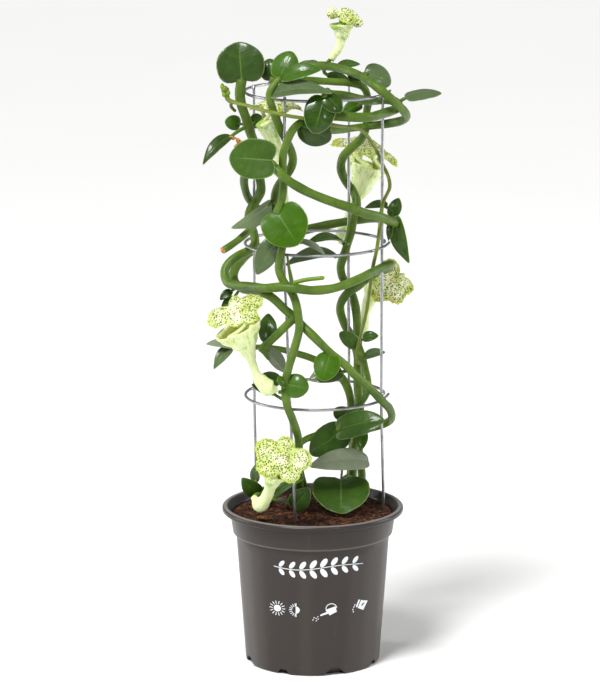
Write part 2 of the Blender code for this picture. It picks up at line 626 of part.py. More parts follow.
            ((-25, 4, 107), (-13, -4, 105.5), (0.2, -0.5, 0.8), 5, "long"),
        ],
    },
    "flowering_stem": {
        "rooted": False,
        "stem": [
            (30, 27.8, 194.5), (29.7, 24, 198), (29.5, 18, 206), (31.5, 8, 218), (35, -4, 236),
            (37, -14, 253), (38.5, -21, 268), (41, -30, 282), (42, -30.5, 289), (43, -24, 296),
            (44, -17, 304), (46, -8, 311), (50, 1, 318), (49, 7, 325), (45.5, 8.5, 332), (42, 4, 341),
            (38, -6, 349), (33, -16, 357), (27, -27, 361.5), (19, -37, 364), (12, -46, 366.5),
            (2, -48.5, 369.5), (-7, -50, 371.5), (-15, -52, 373), (-24, -51.5, 375), (-34, -44, 376),
            (-42, -33, 377), (-50, -23, 377.5), (-55, -18, 379), (-56, -18, 386),
        ],
        "girth": ((0.0, 1.0), (0.3, 1.2), (0.95, 1.2), (1.0, 1.9)),
        "twigs": [
            ([(-55, -18, 379), (-58, -17, 384), (-58.5, -16.5, 388)], (1.1, 1.0)),
            ([(-52, -20, 378), (-53, -16, 374), (-50.5, -15, 371)], (1.1, 1.0)),
        ],
        "leaves": [],
    },
}

PALE_VINES = ("flowering_stem",)

# Each flower: points up its tube with the radius there, then its canopy's middle, size, the
# way it looks and how deep its dome is, and its lobes as (angle, length, half width in degrees)
FLOWERS = {
    "flower_top": {
        "tube": [(11.8, 26, 399), (14.4, 27, 402.5), (17, 28, 406), (18.5, 29, 411), (19.3, 29, 416.5),
                 (19.2, 29, 422)],
        "girth": ((0.0, 1.8), (0.35, 2.1), (0.55, 2.5), (0.75, 4.6), (1.0, 7.6)),
        "canopy": (23, 29, 429.8), "radius": 13.0, "facing": (0.3, -0.25, 1.0), "dome": 7.0, "spin": 10.0,
        "lobes": ((-44, 13.5, 58), (25, 10, 45), (85, 10, 45), (140, 13.5, 56), (230, 10.5, 62)),
    },
    "flower_back_left": {
        "tube": [(-22, -21, 309), (-20, -18, 313), (-19, -17, 322), (-21, -16, 334), (-24, -15, 346),
                 (-27, -15, 355), (-30, -15, 364)],
        "girth": ((0.0, 2.0), (0.07, 4.4), (0.22, 2.6), (0.5, 2.4), (0.78, 4.6), (1.0, 7.0)),
        "canopy": (-24, -14, 377), "radius": 17.0, "facing": (0.0, -0.1, 1.0), "dome": 5.0, "spin": 10.0,
        "lobes": ((-90, 17, 48), (-30, 15, 42), (40, 16, 48), (100, 17, 48), (180, 14, 62)),
    },
    "flower_back_right": {
        "tube": [(19, 54.5, 271), (20, 57, 276), (23, 58, 285), (27, 59, 296), (31, 60, 306),
                 (34.5, 60, 316), (37, 60, 324)],
        "girth": ((0.0, 2.0), (0.1, 5.0), (0.3, 3.0), (0.5, 3.2), (0.75, 7.5), (1.0, 12.8)),
        "canopy": (36.4, 60, 337), "radius": 21.0, "facing": (0.34, -0.35, 1.0), "dome": 5.5, "spin": 12.0,
        "lobes": ((-48, 23, 42), (19, 15, 42), (82, 15, 42), (136, 23.5, 42), (224, 13, 70)),
    },
    "flower_right": {
        "tube": [(31, 52.5, 208), (33, 54, 214), (35, 56, 221), (37, 57.5, 229), (40, 58, 236),
                 (43, 56.5, 241.5), (46, 54, 245)],
        "girth": ((0.0, 2.0), (0.15, 4.8), (0.35, 3.0), (0.6, 4.4), (0.8, 7.6), (1.0, 10.5)),
        "canopy": (53, 49, 247), "radius": 18.5, "facing": (0.2, -0.85, 0.5), "dome": 5.0, "spin": 26.0,
        "lobes": ((6, 17, 48), (111, 16, 48), (166, 16, 48), (230, 17.5, 55), (-54, 15, 58)),
    },
    "flower_left": {
        "tube": [(-23.2, -52, 195), (-28, -53, 196), (-32, -54, 199.5), (-36, -55, 205), (-38.5, -55, 211.5),
                 (-40.8, -56, 218), (-44, -57, 227), (-48.5, -58, 237)],
        "girth": ((0.0, 2.0), (0.12, 5.6), (0.25, 4.6), (0.37, 2.6), (0.55, 2.8), (0.68, 5.0),
                  (0.8, 9.0), (0.92, 13.5), (1.0, 15.5)),
        "canopy": (-50, -62, 247.5), "radius": 18.0, "facing": (-0.25, -0.68, 0.72), "dome": 3.0,
        "spin": 22.0,
        "lobes": ((-105, 19.5, 56), (-18, 15, 36), (38, 20.5, 46), (95, 15.5, 50), (165, 10, 75)),
    },
    "flower_low": {
        "tube": [(-38.6, -28, 117), (-35, -35, 114), (-31.5, -40, 118.5), (-28.8, -44, 125),
                 (-27, -48, 132), (-23.5, -55, 143)],
        "girth": ((0.0, 2.2), (0.22, 5.0), (0.4, 3.8), (0.58, 3.6), (0.78, 5.4), (1.0, 9.5)),
        "canopy": (-19.5, -60, 151.5), "radius": 19.5, "facing": (0.1, -0.85, 0.5), "dome": 5.0, "spin": 30.0,
        "lobes": ((-52, 20, 48), (14, 16, 48), (90, 19.5, 52), (155, 17, 56), (-112, 18, 66)),
    },
}


def canopy_reach(flower, angle):
    # how far the roof reaches at an angle: rounded lobes that run into each other
    total = (CANOPY_CORE * flower["radius"]) ** LOBE_BLEND
    for middle, length, half in flower["lobes"]:
        away = abs((math.degrees(angle) - middle + 180) % 360 - 180)
        if away < half:
            total += (length * math.cos(math.pi / 2 * away / half) ** LOBE_ROUND) ** LOBE_BLEND
    return total ** (1 / LOBE_BLEND)


def canopy_drop(flower, out):
    # how far the dome has come down at a distance from its middle
    return flower["dome"] * (out / flower["radius"]) ** 2


def lobed_canopy(name, flower, collection):
    # the flower's roof: a shallow dome with lobes round its rim
    work = bmesh.new()
    bmesh.ops.create_uvsphere(work, u_segments=CANOPY_SIDES, v_segments=4, radius=1.0)
    up = Vector(flower["facing"]).normalized()
    turn = up.to_track_quat("Z", "Y").to_matrix()
    for vert in work.verts:
        angle = math.atan2(vert.co.x, vert.co.y)
        out = math.hypot(vert.co.x, vert.co.y) * canopy_reach(flower, angle)
        height = vert.co.z * CANOPY_THICK - canopy_drop(flower, out)
        flat = Vector((out * math.sin(angle), out * math.cos(angle), height))
        vert.co = (Vector(flower["canopy"]) + turn @ flat) * MM
    mesh = bpy.data.meshes.new(name)
    work.to_mesh(mesh)
    work.free()
    return add_object(name, mesh, collection)


def make_flower(name, flower, parts, material):
    # swollen foot, narrow tube and funnel, five struts and the roof that they carry
    points = along(flower["tube"], 5.5)
    pieces = [tube(name, points, flower["girth"], parts)]
    pieces.append(lobed_canopy(name + "_canopy", flower, parts))
    mouth = points[-1]
    mouth_radius = flower["girth"][-1][1]
    axis = (points[-1] - points[-2]).normalized()
    up = Vector(flower["facing"]).normalized()
    low_turn = axis.to_track_quat("Z", "Y").to_matrix()
    high_turn = up.to_track_quat("Z", "Y").to_matrix()
    for i in range(5):
        angle = math.radians(36 + 72 * i + flower["spin"])
        spoke = Vector((math.sin(angle), math.cos(angle), 0.0))
        foot = mouth + low_turn @ spoke * 0.72 * mouth_radius - axis * 1.5
        bend_out = STRUT_BEND * flower["radius"]
        head_out = min(CANOPY_CORE * flower["radius"], 0.62 * canopy_reach(flower, angle))
        bend = Vector(flower["canopy"]) + high_turn @ spoke * bend_out
        bend -= up * (canopy_drop(flower, bend_out) + 2.0)
        head = Vector(flower["canopy"]) + high_turn @ spoke * head_out
        head -= up * (canopy_drop(flower, head_out) + 0.2)
        route = (foot, bend, head)
        pieces.append(tube(f"{name}_strut_{i + 1}", route, ((0.0, 1.1), (1.0, 0.9)), parts, roundness=0))
    return fuse(name, pieces, material)


def roundness_for(radius):
    # eight sides on a thick stem, six on a thin one
    return 2 if radius > THICK else 1


def dotted(points):
    # close points on the straight runs of a drawn tube
    return [a.lerp(b, t / 6) for a, b in zip(points, points[1:]) for t in range(6)] + [points[-1]]


def make_vine(name, vine, parts, material):
    route = along(vine["stem"], STEM_STEP)
    if vine["rooted"]:
        x, y, z = vine["stem"][0]
        route.insert(0, Vector((x, y, ROOT_END)))
    pieces = [tube(name, route, vine["girth"], parts, None, roundness_for(vine["girth"][1][1]))]
    near = dotted(route)
    for i, (points, (start, end)) in enumerate(vine["twigs"]):
        twig = along(points, STEM_STEP if start > THICK else TWIG_STEP)
        girth = ((0.0, start), (1.0, end))
        pieces.append(tube(f"{name}_twig_{i + 1}", twig, girth, parts, None, roundness_for(start)))
        near += dotted(twig)
    for i, (base, tip, facing, width, form) in enumerate(vine["leaves"]):
        base, tip = Vector(base), Vector(tip)
        small = (tip - base).length < SMALL_LEAF
        start = min(near, key=lambda p: (p - base).length)
        if (start - base).length < SEATED:
            base = base.lerp(start, SEAT_DEPTH)
        else:
            size = 0.8 * STALK_RADIUS if small else STALK_RADIUS
            pieces.append(stalk(f"{name}_stalk_{i + 1}", start, base, tip, parts, size))
        pieces.append(leaf(f"{name}_leaf_{i + 1}", base, tip, facing, width, form, parts))
    return fuse(name, pieces, material)


def soil_holes():
    holes = []
    for vine in VINES.values():
        if vine["rooted"]:
            x, y, z = vine["stem"][0]
            holes.append((x, y, vine["girth"][0][1], ROOT_END))
    for *angles, (x, y, low) in UPRIGHTS.values():
        holes.append((x, y, WIRE_RADIUS, low))
    return holes


def main():
    clear_scene()
    parts = make_collection("parachute_plant")
    pot_plastic = make_material("pot_plastic", POT_GREY, 0.42)
    soil_mix = make_material("soil_mix", SOIL_BROWN, 0.95)
    bark = make_material("bark", BARK_BROWN, 0.9)
    wire = make_material("galvanised_wire", WIRE_GREY, 0.35, 1.0)
    for name, vine in VINES.items():
        colour = PALE_STEM if name in PALE_VINES else LEAF_GREEN
        make_vine(name, vine, parts, make_material(name, colour, 0.4))
    for name, flower in FLOWERS.items():
        make_flower(name, flower, parts, make_material(name, CREAM, 0.5))
    make_cage(parts, wire)
    make_chip(parts, bark)
    make_soil(parts, soil_mix, soil_holes())
    make_pot(parts, pot_plastic)


main()
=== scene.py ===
import math
import random

import bmesh
import bpy
from mathutils import Matrix, Vector, noise


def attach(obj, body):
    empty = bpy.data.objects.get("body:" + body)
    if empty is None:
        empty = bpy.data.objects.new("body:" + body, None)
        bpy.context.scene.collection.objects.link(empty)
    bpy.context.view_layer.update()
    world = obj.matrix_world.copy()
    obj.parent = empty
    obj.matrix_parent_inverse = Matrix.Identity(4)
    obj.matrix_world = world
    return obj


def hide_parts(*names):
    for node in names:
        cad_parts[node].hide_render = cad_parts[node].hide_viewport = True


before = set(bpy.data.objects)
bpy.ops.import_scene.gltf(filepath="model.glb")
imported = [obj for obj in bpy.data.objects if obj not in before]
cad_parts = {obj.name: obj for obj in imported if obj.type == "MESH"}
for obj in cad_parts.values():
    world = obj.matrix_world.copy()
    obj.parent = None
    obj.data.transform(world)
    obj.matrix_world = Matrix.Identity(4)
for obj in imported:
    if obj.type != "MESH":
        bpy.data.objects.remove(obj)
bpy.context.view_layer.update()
mm = 0.001
weld = 0.000005  # points nearer than this become one


# camera and light

photoCamera = {
    "place": (-0.008459, -2.39505, 0.72238), "tilt": 0.20847, "lens": 196.29, "sensor": 36, "far": 20,
}
studio = {
    "backdrop": 1.0, "sky": 0.26, "aim": (0, 0, 0.2),
    "floor": (0.98, 0.98, 0.975), "floorShade": (0.95, 0.95, 0.94), "floorSize": 6,
    "sun": (0.52, -0.32, 0.0, 2.75, 0.30),  # its turn about each axis, strength and softness
    "lamps": {  # place, width, height and power of each soft panel, all turned to the plant
        "top": ((-0.6, -0.9, 1.5), 0.6, 0.6, 5.0),
        "left": ((-1.4, 0.35, 0.5), 0.3, 1.2, 9.0),
        "right": ((1.4, 0.3, 0.5), 0.3, 1.2, 9.0),
        "front": ((0.9, -1.6, 0.9), 0.3, 0.4, 5.0),
    },
}


def makeCamera(view):
    data = bpy.data.cameras.new("photoCamera")
    data.sensor_width = view["sensor"]
    data.lens = view["lens"]
    data.clip_end = view["far"]
    camera = newObject("photoCamera", data)
    camera.location = view["place"]
    camera.rotation_euler = (math.pi / 2 - view["tilt"], 0, 0)
    bpy.context.scene.camera = camera


def makeLamp(name, kind, power):
    data = bpy.data.lights.new(name, kind)
    data.energy = power
    return newObject(name, data)


def makeStudio(setup):
    world = bpy.data.worlds.new("studioWorld")
    bpy.context.scene.world = world
    world.use_nodes = True
    tree = world.node_tree
    light = tree.nodes["Background"]
    white = tree.nodes.new("ShaderNodeBackground")  # what stands behind the plant
    for glow, strength in ((light, setup["sky"]), (white, setup["backdrop"])):
        glow.inputs["Color"].default_value = (1, 1, 1, 1)
        glow.inputs["Strength"].default_value = strength
    path = tree.nodes.new("ShaderNodeLightPath")
    both = tree.nodes.new("ShaderNodeMixShader")
    sources = (path.outputs["Is Camera Ray"], light.outputs[0], white.outputs[0])
    for source, entry in zip(sources, both.inputs):
        tree.links.new(source, entry)
    tree.links.new(both.outputs[0], tree.nodes["World Output"].inputs["Surface"])
    *turn, strength, softness = setup["sun"]
    sun = makeLamp("sun", "SUN", strength)
    sun.data.angle = softness
    sun.rotation_euler = turn
    for name, (place, width, height, power) in setup["lamps"].items():
        panel = makeLamp(name, "AREA", power)
        panel.data.shape = "RECTANGLE"
        panel.data.size = width
        panel.data.size_y = height
        panel.location = place
        toPlant = Vector(setup["aim"]) - Vector(place)
        panel.rotation_euler = toPlant.to_track_quat("-Z", "Y").to_euler()
    view = bpy.context.scene.view_settings
    view.view_transform = "Standard"  # a white studio stays white
    view.look = "None"


# shader maths and materials

class Wave:
    # one number of a shader, and an expression on it adds Math nodes
    def __init__(self, socket):
        self.socket = socket

    def step(self, operation, *values, clamp=False):
        tree = self.socket.id_data
        made = tree.nodes.new("ShaderNodeMath")
        made.operation = operation
        made.use_clamp = clamp
        for entry, value in zip(made.inputs, values):
            if isinstance(value, Wave):
                tree.links.new(value.socket, entry)
            else:
                entry.default_value = value
        return Wave(made.outputs[0])

    def __add__(self, other):
        return self.step("ADD", self, other)

    def __sub__(self, other):
        return self.step("SUBTRACT", self, other)

    def __rsub__(self, other):
        return self.step("SUBTRACT", other, self)

    def __mul__(self, other):
        return self.step("MULTIPLY", self, other)

    def __pow__(self, other):
        return self.step("POWER", self, other)

    __radd__ = __add__
    __rmul__ = __mul__

    def size(self):
        return self.step("ABSOLUTE", self)

    def held(self):
        return self.step("ADD", self, 0.0, clamp=True)

    def above(self, low, high):
        # 0 below low, 1 above high and smooth between, or the other way where low is the larger
        share = self.step("DIVIDE", self - low, high - low, clamp=True)
        return share * share * (3.0 - 2.0 * share)


class Finish:
    # a material and the nodes that feed its shader
    def __init__(self, name, **constants):
        self.material = bpy.data.materials.new(name)
        self.material.use_nodes = True
        self.tree = self.material.node_tree
        self.shader = self.tree.nodes["Principled BSDF"]
        self.paint(**constants)
        self.place = self.node("TexCoord", {}, {}).outputs["Object"]

    def feed(self, made, inputs):
        for key, value in inputs.items():
            if isinstance(value, Wave):
                value = value.socket
            if isinstance(value, bpy.types.NodeSocket):
                self.tree.links.new(value, made.inputs[key])
            else:
                made.inputs[key].default_value = value

    def node(self, kind, settings, inputs):
        made = self.tree.nodes.new("ShaderNode" + kind)
        for key, value in settings.items():
            setattr(made, key, value)
        self.feed(made, inputs)
        return made

    def noise(self, scale, detail=3.0, rough=0.55, vector=None):
        inputs = {"Vector": vector or self.place, "Scale": scale, "Detail": detail, "Roughness": rough}
        return Wave(self.node("TexNoise", {}, inputs).outputs["Fac"])

    def cells(self, scale, feature="F1"):
        inputs = {"Vector": self.place, "Scale": scale}
        return Wave(self.node("TexVoronoi", {"feature": feature}, inputs).outputs["Distance"])

    def stretched(self, scale):
        return self.node("Mapping", {}, {"Vector": self.place, "Scale": scale}).outputs["Vector"]

    def attribute(self, name):
        return self.node("Attribute", {"attribute_name": name}, {})

    def parts(self, vector):
        split = self.node("SeparateXYZ", {}, {"Vector": vector})
        return [Wave(out) for out in split.outputs]

    def mix(self, share, first, second):
        # first and second are colours or colour sockets, and share is how much of the second shows
        inputs = {0: share}
        for key, value in ((6, first), (7, second)):
            inputs[key] = (*value, 1) if isinstance(value, tuple) else value
        return self.node("Mix", {"data_type": "RGBA", "clamp_factor": True}, inputs).outputs[2]

    def layered(self, colour, *layers):
        # each layer is a share and the colour or colour socket that covers what lies under it
        for share, cover in layers:
            colour = self.mix(share, colour, cover)
        return colour

    def bump(self, height, depth, strength=1.0):
        inputs = {"Height": height, "Distance": depth, "Strength": strength}
        self.feed(self.shader, {"Normal": self.node("Bump", {}, inputs).outputs["Normal"]})

    def paint(self, **inputs):
        self.feed(self.shader, {key.replace("_", " "): value for key, value in inputs.items()})


# modelling helpers

def newObject(name, data, materials=()):
    made = bpy.data.objects.new(name, data)
    bpy.context.scene.collection.objects.link(made)
    for material in materials:
        data.materials.append(material)
    return made


def asMesh(name, work):
    # the worked shape as a mesh of its own
    mesh = bpy.data.meshes.new(name)
    work.to_mesh(mesh)
    work.free()
    return mesh


def finished(name, work, materials, replaced, smooth=True):
    # the worked shape as a piece of the plant, in place of its CAD node
    for face in work.faces:
        face.smooth = smooth
    piece = newObject(name, asMesh(name, work), materials)
    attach(piece, "root")
    if replaced:
        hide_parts(*replaced)
    return piece


def pieceName(node):
    first, *others = node.split("_")
    return first + "".join(word.title() for word in others)


def frozenMesh(made):
    evaluated = made.evaluated_get(bpy.context.evaluated_depsgraph_get())
    return bpy.data.meshes.new_from_object(evaluated)


def along(points, step):
    # evenly spaced points on a smooth curve through the given ones
    knots = [Vector(p) for p in points]
    knots = [2 * knots[0] - knots[1], *knots, 2 * knots[-1] - knots[-2]]
    kept = []
    for a, b, c, d in zip(knots, knots[1:], knots[2:], knots[3:]):
        pieces = max(1, round((c - b).length / step))
        for i in range(pieces):
            t = i / pieces
            kept.append(0.5 * ((2 * b) + (c - a) * t + (2 * a - 5 * b + 4 * c - d) * t * t
                               + (3 * b - a - 3 * c + d) * t * t * t))
    kept.append(knots[-2])
    return kept


def shares(points):
    gone = [0.0]
    for a, b in zip(points, points[1:]):
        gone.append(gone[-1] + (Vector(b) - Vector(a)).length)
    return [g / gone[-1] for g in gone]


def girthAt(girth, share):
    for (a, low), (b, high) in zip(girth, girth[1:]):
        if share <= b:
            t = (share - a) / (b - a)
            return low + (high - low) * t * t * (3 - 2 * t)
    return girth[-1][1]


def addTube(work, points, girth, sides=4, material=0, uneven=0.0):
    # a filled tube along points in mm, added to the worked shape
    curve = bpy.data.curves.new("route", "CURVE")
    curve.dimensions = "3D"
    curve.bevel_depth = mm
    curve.bevel_resolution = sides
    curve.use_fill_caps = True
    spline = curve.splines.new("POLY")
    spline.points.add(len(points) - 1)
    for dot, point, share in zip(spline.points, points, shares(points)):
        dot.co = (*(Vector(point) * mm), 1)
        dot.radius = girthAt(girth, share) * (1 + uneven * noise.noise(Vector(point) * 0.11))
    drawn = newObject("route", curve)
    mesh = frozenMesh(drawn)
    bpy.data.objects.remove(drawn, do_unlink=True)
    tube = bmesh.new()
    tube.from_mesh(mesh)
    bmesh.ops.remove_doubles(tube, verts=tube.verts, dist=weld)
    addShape(work, tube, material)


def addShape(work, shape, material=0):
    # one shape's faces go into another, with the material that they take
    for face in shape.faces:
        face.material_index = material
    mesh = asMesh("shape", shape)
    work.from_mesh(mesh)
    bpy.data.meshes.remove(mesh)


def placed(shape, *moves):
    # the shape in metres at its place; the last of the moves is done first
    matrix = Matrix.Scale(mm, 4)
    for move in moves:
        matrix = matrix @ move
    bmesh.ops.transform(shape, matrix=matrix, verts=shape.verts)
    return shape


def turnedTo(direction):
    return Vector(direction).normalized().to_track_quat("Z", "Y").to_matrix()


def spun(profile, steps):
    # a solid of revolution from (radius, height) points in mm
    work = bmesh.new()
    dots = [work.verts.new((radius * mm, 0, height * mm)) for radius, height in profile]
    edges = [work.edges.new(pair) for pair in zip(dots, dots[1:])]
    bmesh.ops.spin(work, geom=dots + edges, axis=(0, 0, 1), cent=(0, 0, 0), angle=math.tau,
                   steps=steps, use_merge=True)
    bmesh.ops.remove_doubles(work, verts=work.verts, dist=weld)
    bmesh.ops.recalc_face_normals(work, faces=work.faces)
    return work


def rounded(profile, radius, steps=3):
    # the outline with its corners cut round
    points = [Vector(p) for p in profile]
    made = [points[0]]
    for before, corner, after in zip(points, points[1:], points[2:]):
        reach = min(radius, 0.45 * (before - corner).length, 0.45 * (after - corner).length)
        start = corner + (before - corner).normalized() * reach
        end = corner + (after - corner).normalized() * reach
        for i in range(steps + 1):
            t = i / steps
            made.append(start * (1 - t) ** 2 + corner * 2 * t * (1 - t) + end * t * t)
    return [*made, points[-1]]


# the pot

potLook = {
    "height": 105.4, "rim": 60.0, "rimInner": 56.4, "rimDepth": 3.9, "collar": 54.6,
    "stepHeight": 87.3, "stepDrop": 0.6, "step": 52.9, "body": 50.8, "foot": 44.6, "footRound": 1.2,
    "wall": 1.3, "floor": 2.2, "floorEdge": 38, "corners": 0.55, "spinSteps": 160, "crease": 38,
    "notchAngle": 19, "notchCount": 8, "notchIn": (0.5, 5.8), "notchOut": 3,
    "notches": ((16, 6, 5), (9, 4.5, 3.6)),  # lower width, upper width and height of every other one
    "drains": 4, "drainRing": 27, "drainRadius": 3,
    # the second colour is for rubbed plastic and for the highlight painted along the flutes
    "plastic": (0.029, 0.0215, 0.0185), "worn": (0.058, 0.046, 0.040), "dust": (0.28, 0.25, 0.22),
    "flutes": 9, "fluteTop": (0.086, 0.080),
    "bands": (  # painted light and shade round the pot: heights in metres where each comes in and goes out, its share and its colour
        ((0.1047, 0.1053), (0.1080, 0.1070), 0.6, (0.30, 0.285, 0.27)),  # a painted highlight along the top of the rim
        ((0.1004, 0.1016), (0.1040, 0.1030), 0.75, (0.012, 0.010, 0.010)),  # painted shade under the rolled rim
        ((0.0862, 0.0868), (0.0886, 0.0878), 0.35, (0.24, 0.22, 0.20)),  # a painted highlight along the edge of the step
    ),
}


def potPlastic(look):
    skin = Finish("potPlastic", IOR=1.46, Specular_IOR_Level=0.4)
    x, y, z = skin.parts(skin.place)
    turn = x.step("ARCTAN2", x, y * -1.0)
    flute = turn.step("COSINE", turn * look["flutes"] + 0.9) * 0.5 + 0.5
    low = z.above(*look["fluteTop"])
    grain = skin.noise(2600, 2, 0.6)
    cloud = skin.noise(38, 4, 0.6)
    rub = skin.noise(160, 5, 0.7, skin.stretched((1, 1, 0.25)))
    # real rubbing and clouding, plus a painted highlight along the ridges of the lower wall's flutes
    worn = (rub.above(0.56, 0.80) * 0.55 + cloud * 0.25 + (flute ** 5.0) * low * 0.35).held()
    colour = skin.mix(worn, look["plastic"], look["worn"])
    # the bands paint a highlight on the rim top, shade under the rolled rim and a highlight on the step's
    # edge
    for rise, fall, share, tint in look["bands"]:
        colour = skin.mix(z.above(*rise) * z.above(*fall) * share, colour, tint)
    colour = skin.mix(skin.noise(900, 3, 0.7).above(0.68, 0.80) * 0.16, colour, look["dust"])
    skin.paint(Base_Color=colour, Roughness=0.24 + cloud * 0.10 + worn * 0.12)
    skin.bump(grain * 0.25 + flute * low * 5.0 + cloud * 0.6, 0.0004, 0.4)
    return skin.material


def addNotches(cutters, look):
    # tapering blocks round the foot, a wide one and a narrow one in turn
    upperIn, lowerIn = look["notchIn"]
    for i in range(look["notchCount"]):
        wide, narrow, high = look["notches"][i % 2]
        wedge = bmesh.new()
        bmesh.ops.create_cube(wedge, size=2)
        for vert in wedge.verts:
            upper, outer = vert.co.z > 0, vert.co.y < 0
            vert.co.x *= (narrow if upper else wide + 1) / 2
            vert.co.y = -(look["foot"] + (look["notchOut"] if outer else -(upperIn if upper else lowerIn)))
            vert.co.z = high if upper else -0.3
        bmesh.ops.bevel(wedge, geom=wedge.edges, offset=0.5, segments=2, affect="EDGES", profile=0.5,
                        material=-1)
        turn = Matrix.Rotation(math.radians(look["notchAngle"] + 360 / look["notchCount"] * i), 4, "Z")
        addShape(cutters, placed(wedge, turn))


def addDrains(cutters, look):
    # round holes through the floor
    ring, radius = look["drainRing"], look["drainRadius"] * mm
    for i in range(look["drains"]):
        angle = math.radians(look["notchAngle"] + 360 / look["drains"] * i)
        place = Matrix.Translation(Vector((ring * math.sin(angle), -ring * math.cos(angle), 1)) * mm)
        bmesh.ops.create_cone(cutters, cap_ends=True, segments=24, radius1=radius, radius2=radius,
                              depth=8 * mm, matrix=place)


def makePot(look, plastic):
    # the outline goes from the middle of the underside up the outside and down the inside to the floor
    top, rim, inner, collar, stepHeight, step, body, foot, wall, floor = (look[key] for key in (
        "height", "rim", "rimInner", "collar", "stepHeight", "step", "body", "foot", "wall", "floor"))
    rimLow = top - look["rimDepth"]
    collarTop = rimLow - 0.3
    outline = [
        (0, 0), (foot - 1.0, 0), (foot, look["footRound"]), (body, stepHeight - look["stepDrop"]),
        (step, stepHeight + 0.2), (collar, collarTop - 2.4), (collar, collarTop), (rim - 0.7, rimLow),
        (rim, rimLow + 0.7), (rim, top - 1.0), (rim - 1.2, top), (inner + 0.6, top), (inner, top - 0.7),
        (collar - wall, collarTop - 0.4), (step - wall, stepHeight + 1.2), (body - wall, stepHeight - 1.8),
        (foot - wall + 0.3, 7), (look["floorEdge"], floor), (0, floor),
    ]
    profile = [(p.x, p.y) for p in rounded(outline, look["corners"])]
    shell = newObject("potBody", asMesh("potBody", spun(profile, look["spinSteps"])))
    cutters = bmesh.new()
    addNotches(cutters, look)
    addDrains(cutters, look)
    cutter = newObject("potCuts", asMesh("potCuts", cutters))
    boolean = shell.modifiers.new("cuts", "BOOLEAN")
    boolean.operation = "DIFFERENCE"
    boolean.object = cutter
    work = bmesh.new()
    work.from_mesh(frozenMesh(shell))
    for made in (shell, cutter):
        bpy.data.objects.remove(made, do_unlink=True)
    piece = finished("growerPot", work, [plastic], ["pot"])
    piece.data.set_sharp_from_angle(angle=math.radians(look["crease"]))
    print("pot made")


# printed signs on the pot: care pictures and a plain sprig, all flat shapes wrapped on its wall

printLook = {
    "white": (0.80, 0.83, 0.86), "faded": (0.42, 0.43, 0.44), "lift": 0.07, "thick": 0.10,
    "sun": (-23.2, 45.9), "halfSun": (-11.0, 45.9), "can": (9.6, 45.6), "packet": (31.4, 46.4),
    "sprig": (3.6, 75.0), "sprigHalf": 29.0, "sprigPairs": 8, "sprigBars": 24,
}


def printInk(look):
    ink = Finish("printInk", IOR=1.45)
    wear = ink.noise(700, 3, 0.7)
    colour = ink.mix(wear.above(0.55, 0.85) * 0.35, look["white"], look["faded"])
    ink.paint(Base_Color=colour, Roughness=0.45 + wear * 0.15)
    ink.bump(wear, 0.00003, 0.4)
    return ink.material


def laid(middle, turn):
    # the place of a flat shape and the way it points
    return Matrix.Translation((*middle, 0)) @ Matrix.Rotation(turn, 4, "Z")


def addBar(work, middle, size, turn=0.0):
    # a flat bar: its middle, length and width, and the way it points
    length, width = size
    bmesh.ops.create_grid(work, x_segments=max(1, round(length / 1.5)), y_segments=1, size=0.5,
                          matrix=laid(middle, turn) @ Matrix.Diagonal((length, width, 1, 1)))


def addRays(work, middle, reach, size, turns):
    for turn in turns:
        start = (middle[0] + reach * math.cos(turn), middle[1] + reach * math.sin(turn))
        addBar(work, start, size, turn)


def addDisc(work, middle, radius, squeeze=1.0, turn=0.0, sides=28, keep=None):
    disc = bmesh.new()
    bmesh.ops.create_circle(disc, cap_ends=True, cap_tris=True, segments=sides, radius=radius)
    if keep:  # the half on one side of the middle stays
        bmesh.ops.bisect_plane(disc, geom=disc.verts[:] + disc.edges[:] + disc.faces[:],
                               plane_co=(0, 0, 0), plane_no=keep, clear_inner=True)
    shape = laid(middle, turn) @ Matrix.Diagonal((1, squeeze, 1, 1))
    bmesh.ops.transform(disc, matrix=shape, verts=disc.verts)
    addShape(work, disc)


def addOutline(work, middle, points):
    shape = bmesh.new()
    shape.faces.new([shape.verts.new((middle[0] + x, middle[1] + y, 0)) for x, y in points])
    bmesh.ops.triangulate(shape, faces=shape.faces)
    addShape(work, shape)


def addDrops(work, middle, spots, size, turn):
    for x, y in spots:
        addBar(work, (middle[0] + x, middle[1] + y), size, turn)


def drawSuns(work, look):
    addDisc(work, look["sun"], 2.3)
    addRays(work, look["sun"], 4.1, (2.1, 0.45), [math.tau * i / 14 for i in range(14)])
    addDisc(work, look["halfSun"], 2.4, keep=(1, 0, 0))
    addBar(work, look["halfSun"], (9.6, 0.5), math.pi / 2)
    halfTurns = [math.pi / 2 + math.pi * (i + 0.5) / 9 for i in range(9)]
    addRays(work, look["halfSun"], 3.6, (2.0, 0.42), halfTurns)


def drawCan(work, look):
    can = x, y = look["can"]
    addOutline(work, can, [(-1.5, 0.6), (5.2, 2.6), (6.0, -1.2), (1.4, -3.4)])
    for i in range(9):  # the handle
        turn = 0.25 + 2.75 * i / 8
        place = (x + 2.4 + 3.5 * math.cos(turn), y + 1.3 + 3.3 * math.sin(turn))
        addBar(work, place, (1.4, 0.5), turn + math.pi / 2)
    addOutline(work, can, [(0.5, -0.4), (0.9, -1.9), (-4.6, -3.6), (-4.9, -2.7)])
    spots = ((-6.4, -4.0), (-7.6, -5.2), (-6.2, -5.6), (-8.9, -4.6), (-7.4, -6.8), (-9.6, -6.2))
    addDrops(work, can, spots, (0.9, 0.5), 0.9)


def drawPacket(work, look):
    packet = look["packet"]
    addOutline(work, packet, [(-2.0, -1.6), (1.6, -3.9), (4.6, 1.8), (0.2, 3.4)])
    addOutline(work, packet, [(-3.2, -0.3), (-2.5, -1.2), (-0.4, 3.8), (-1.5, 4.1)])
    addDrops(work, packet, ((-4.6, -0.4), (-5.2, -2.0), (-4.9, -3.6), (-3.9, 0.9)), (1.0, 0.55), 1.2)


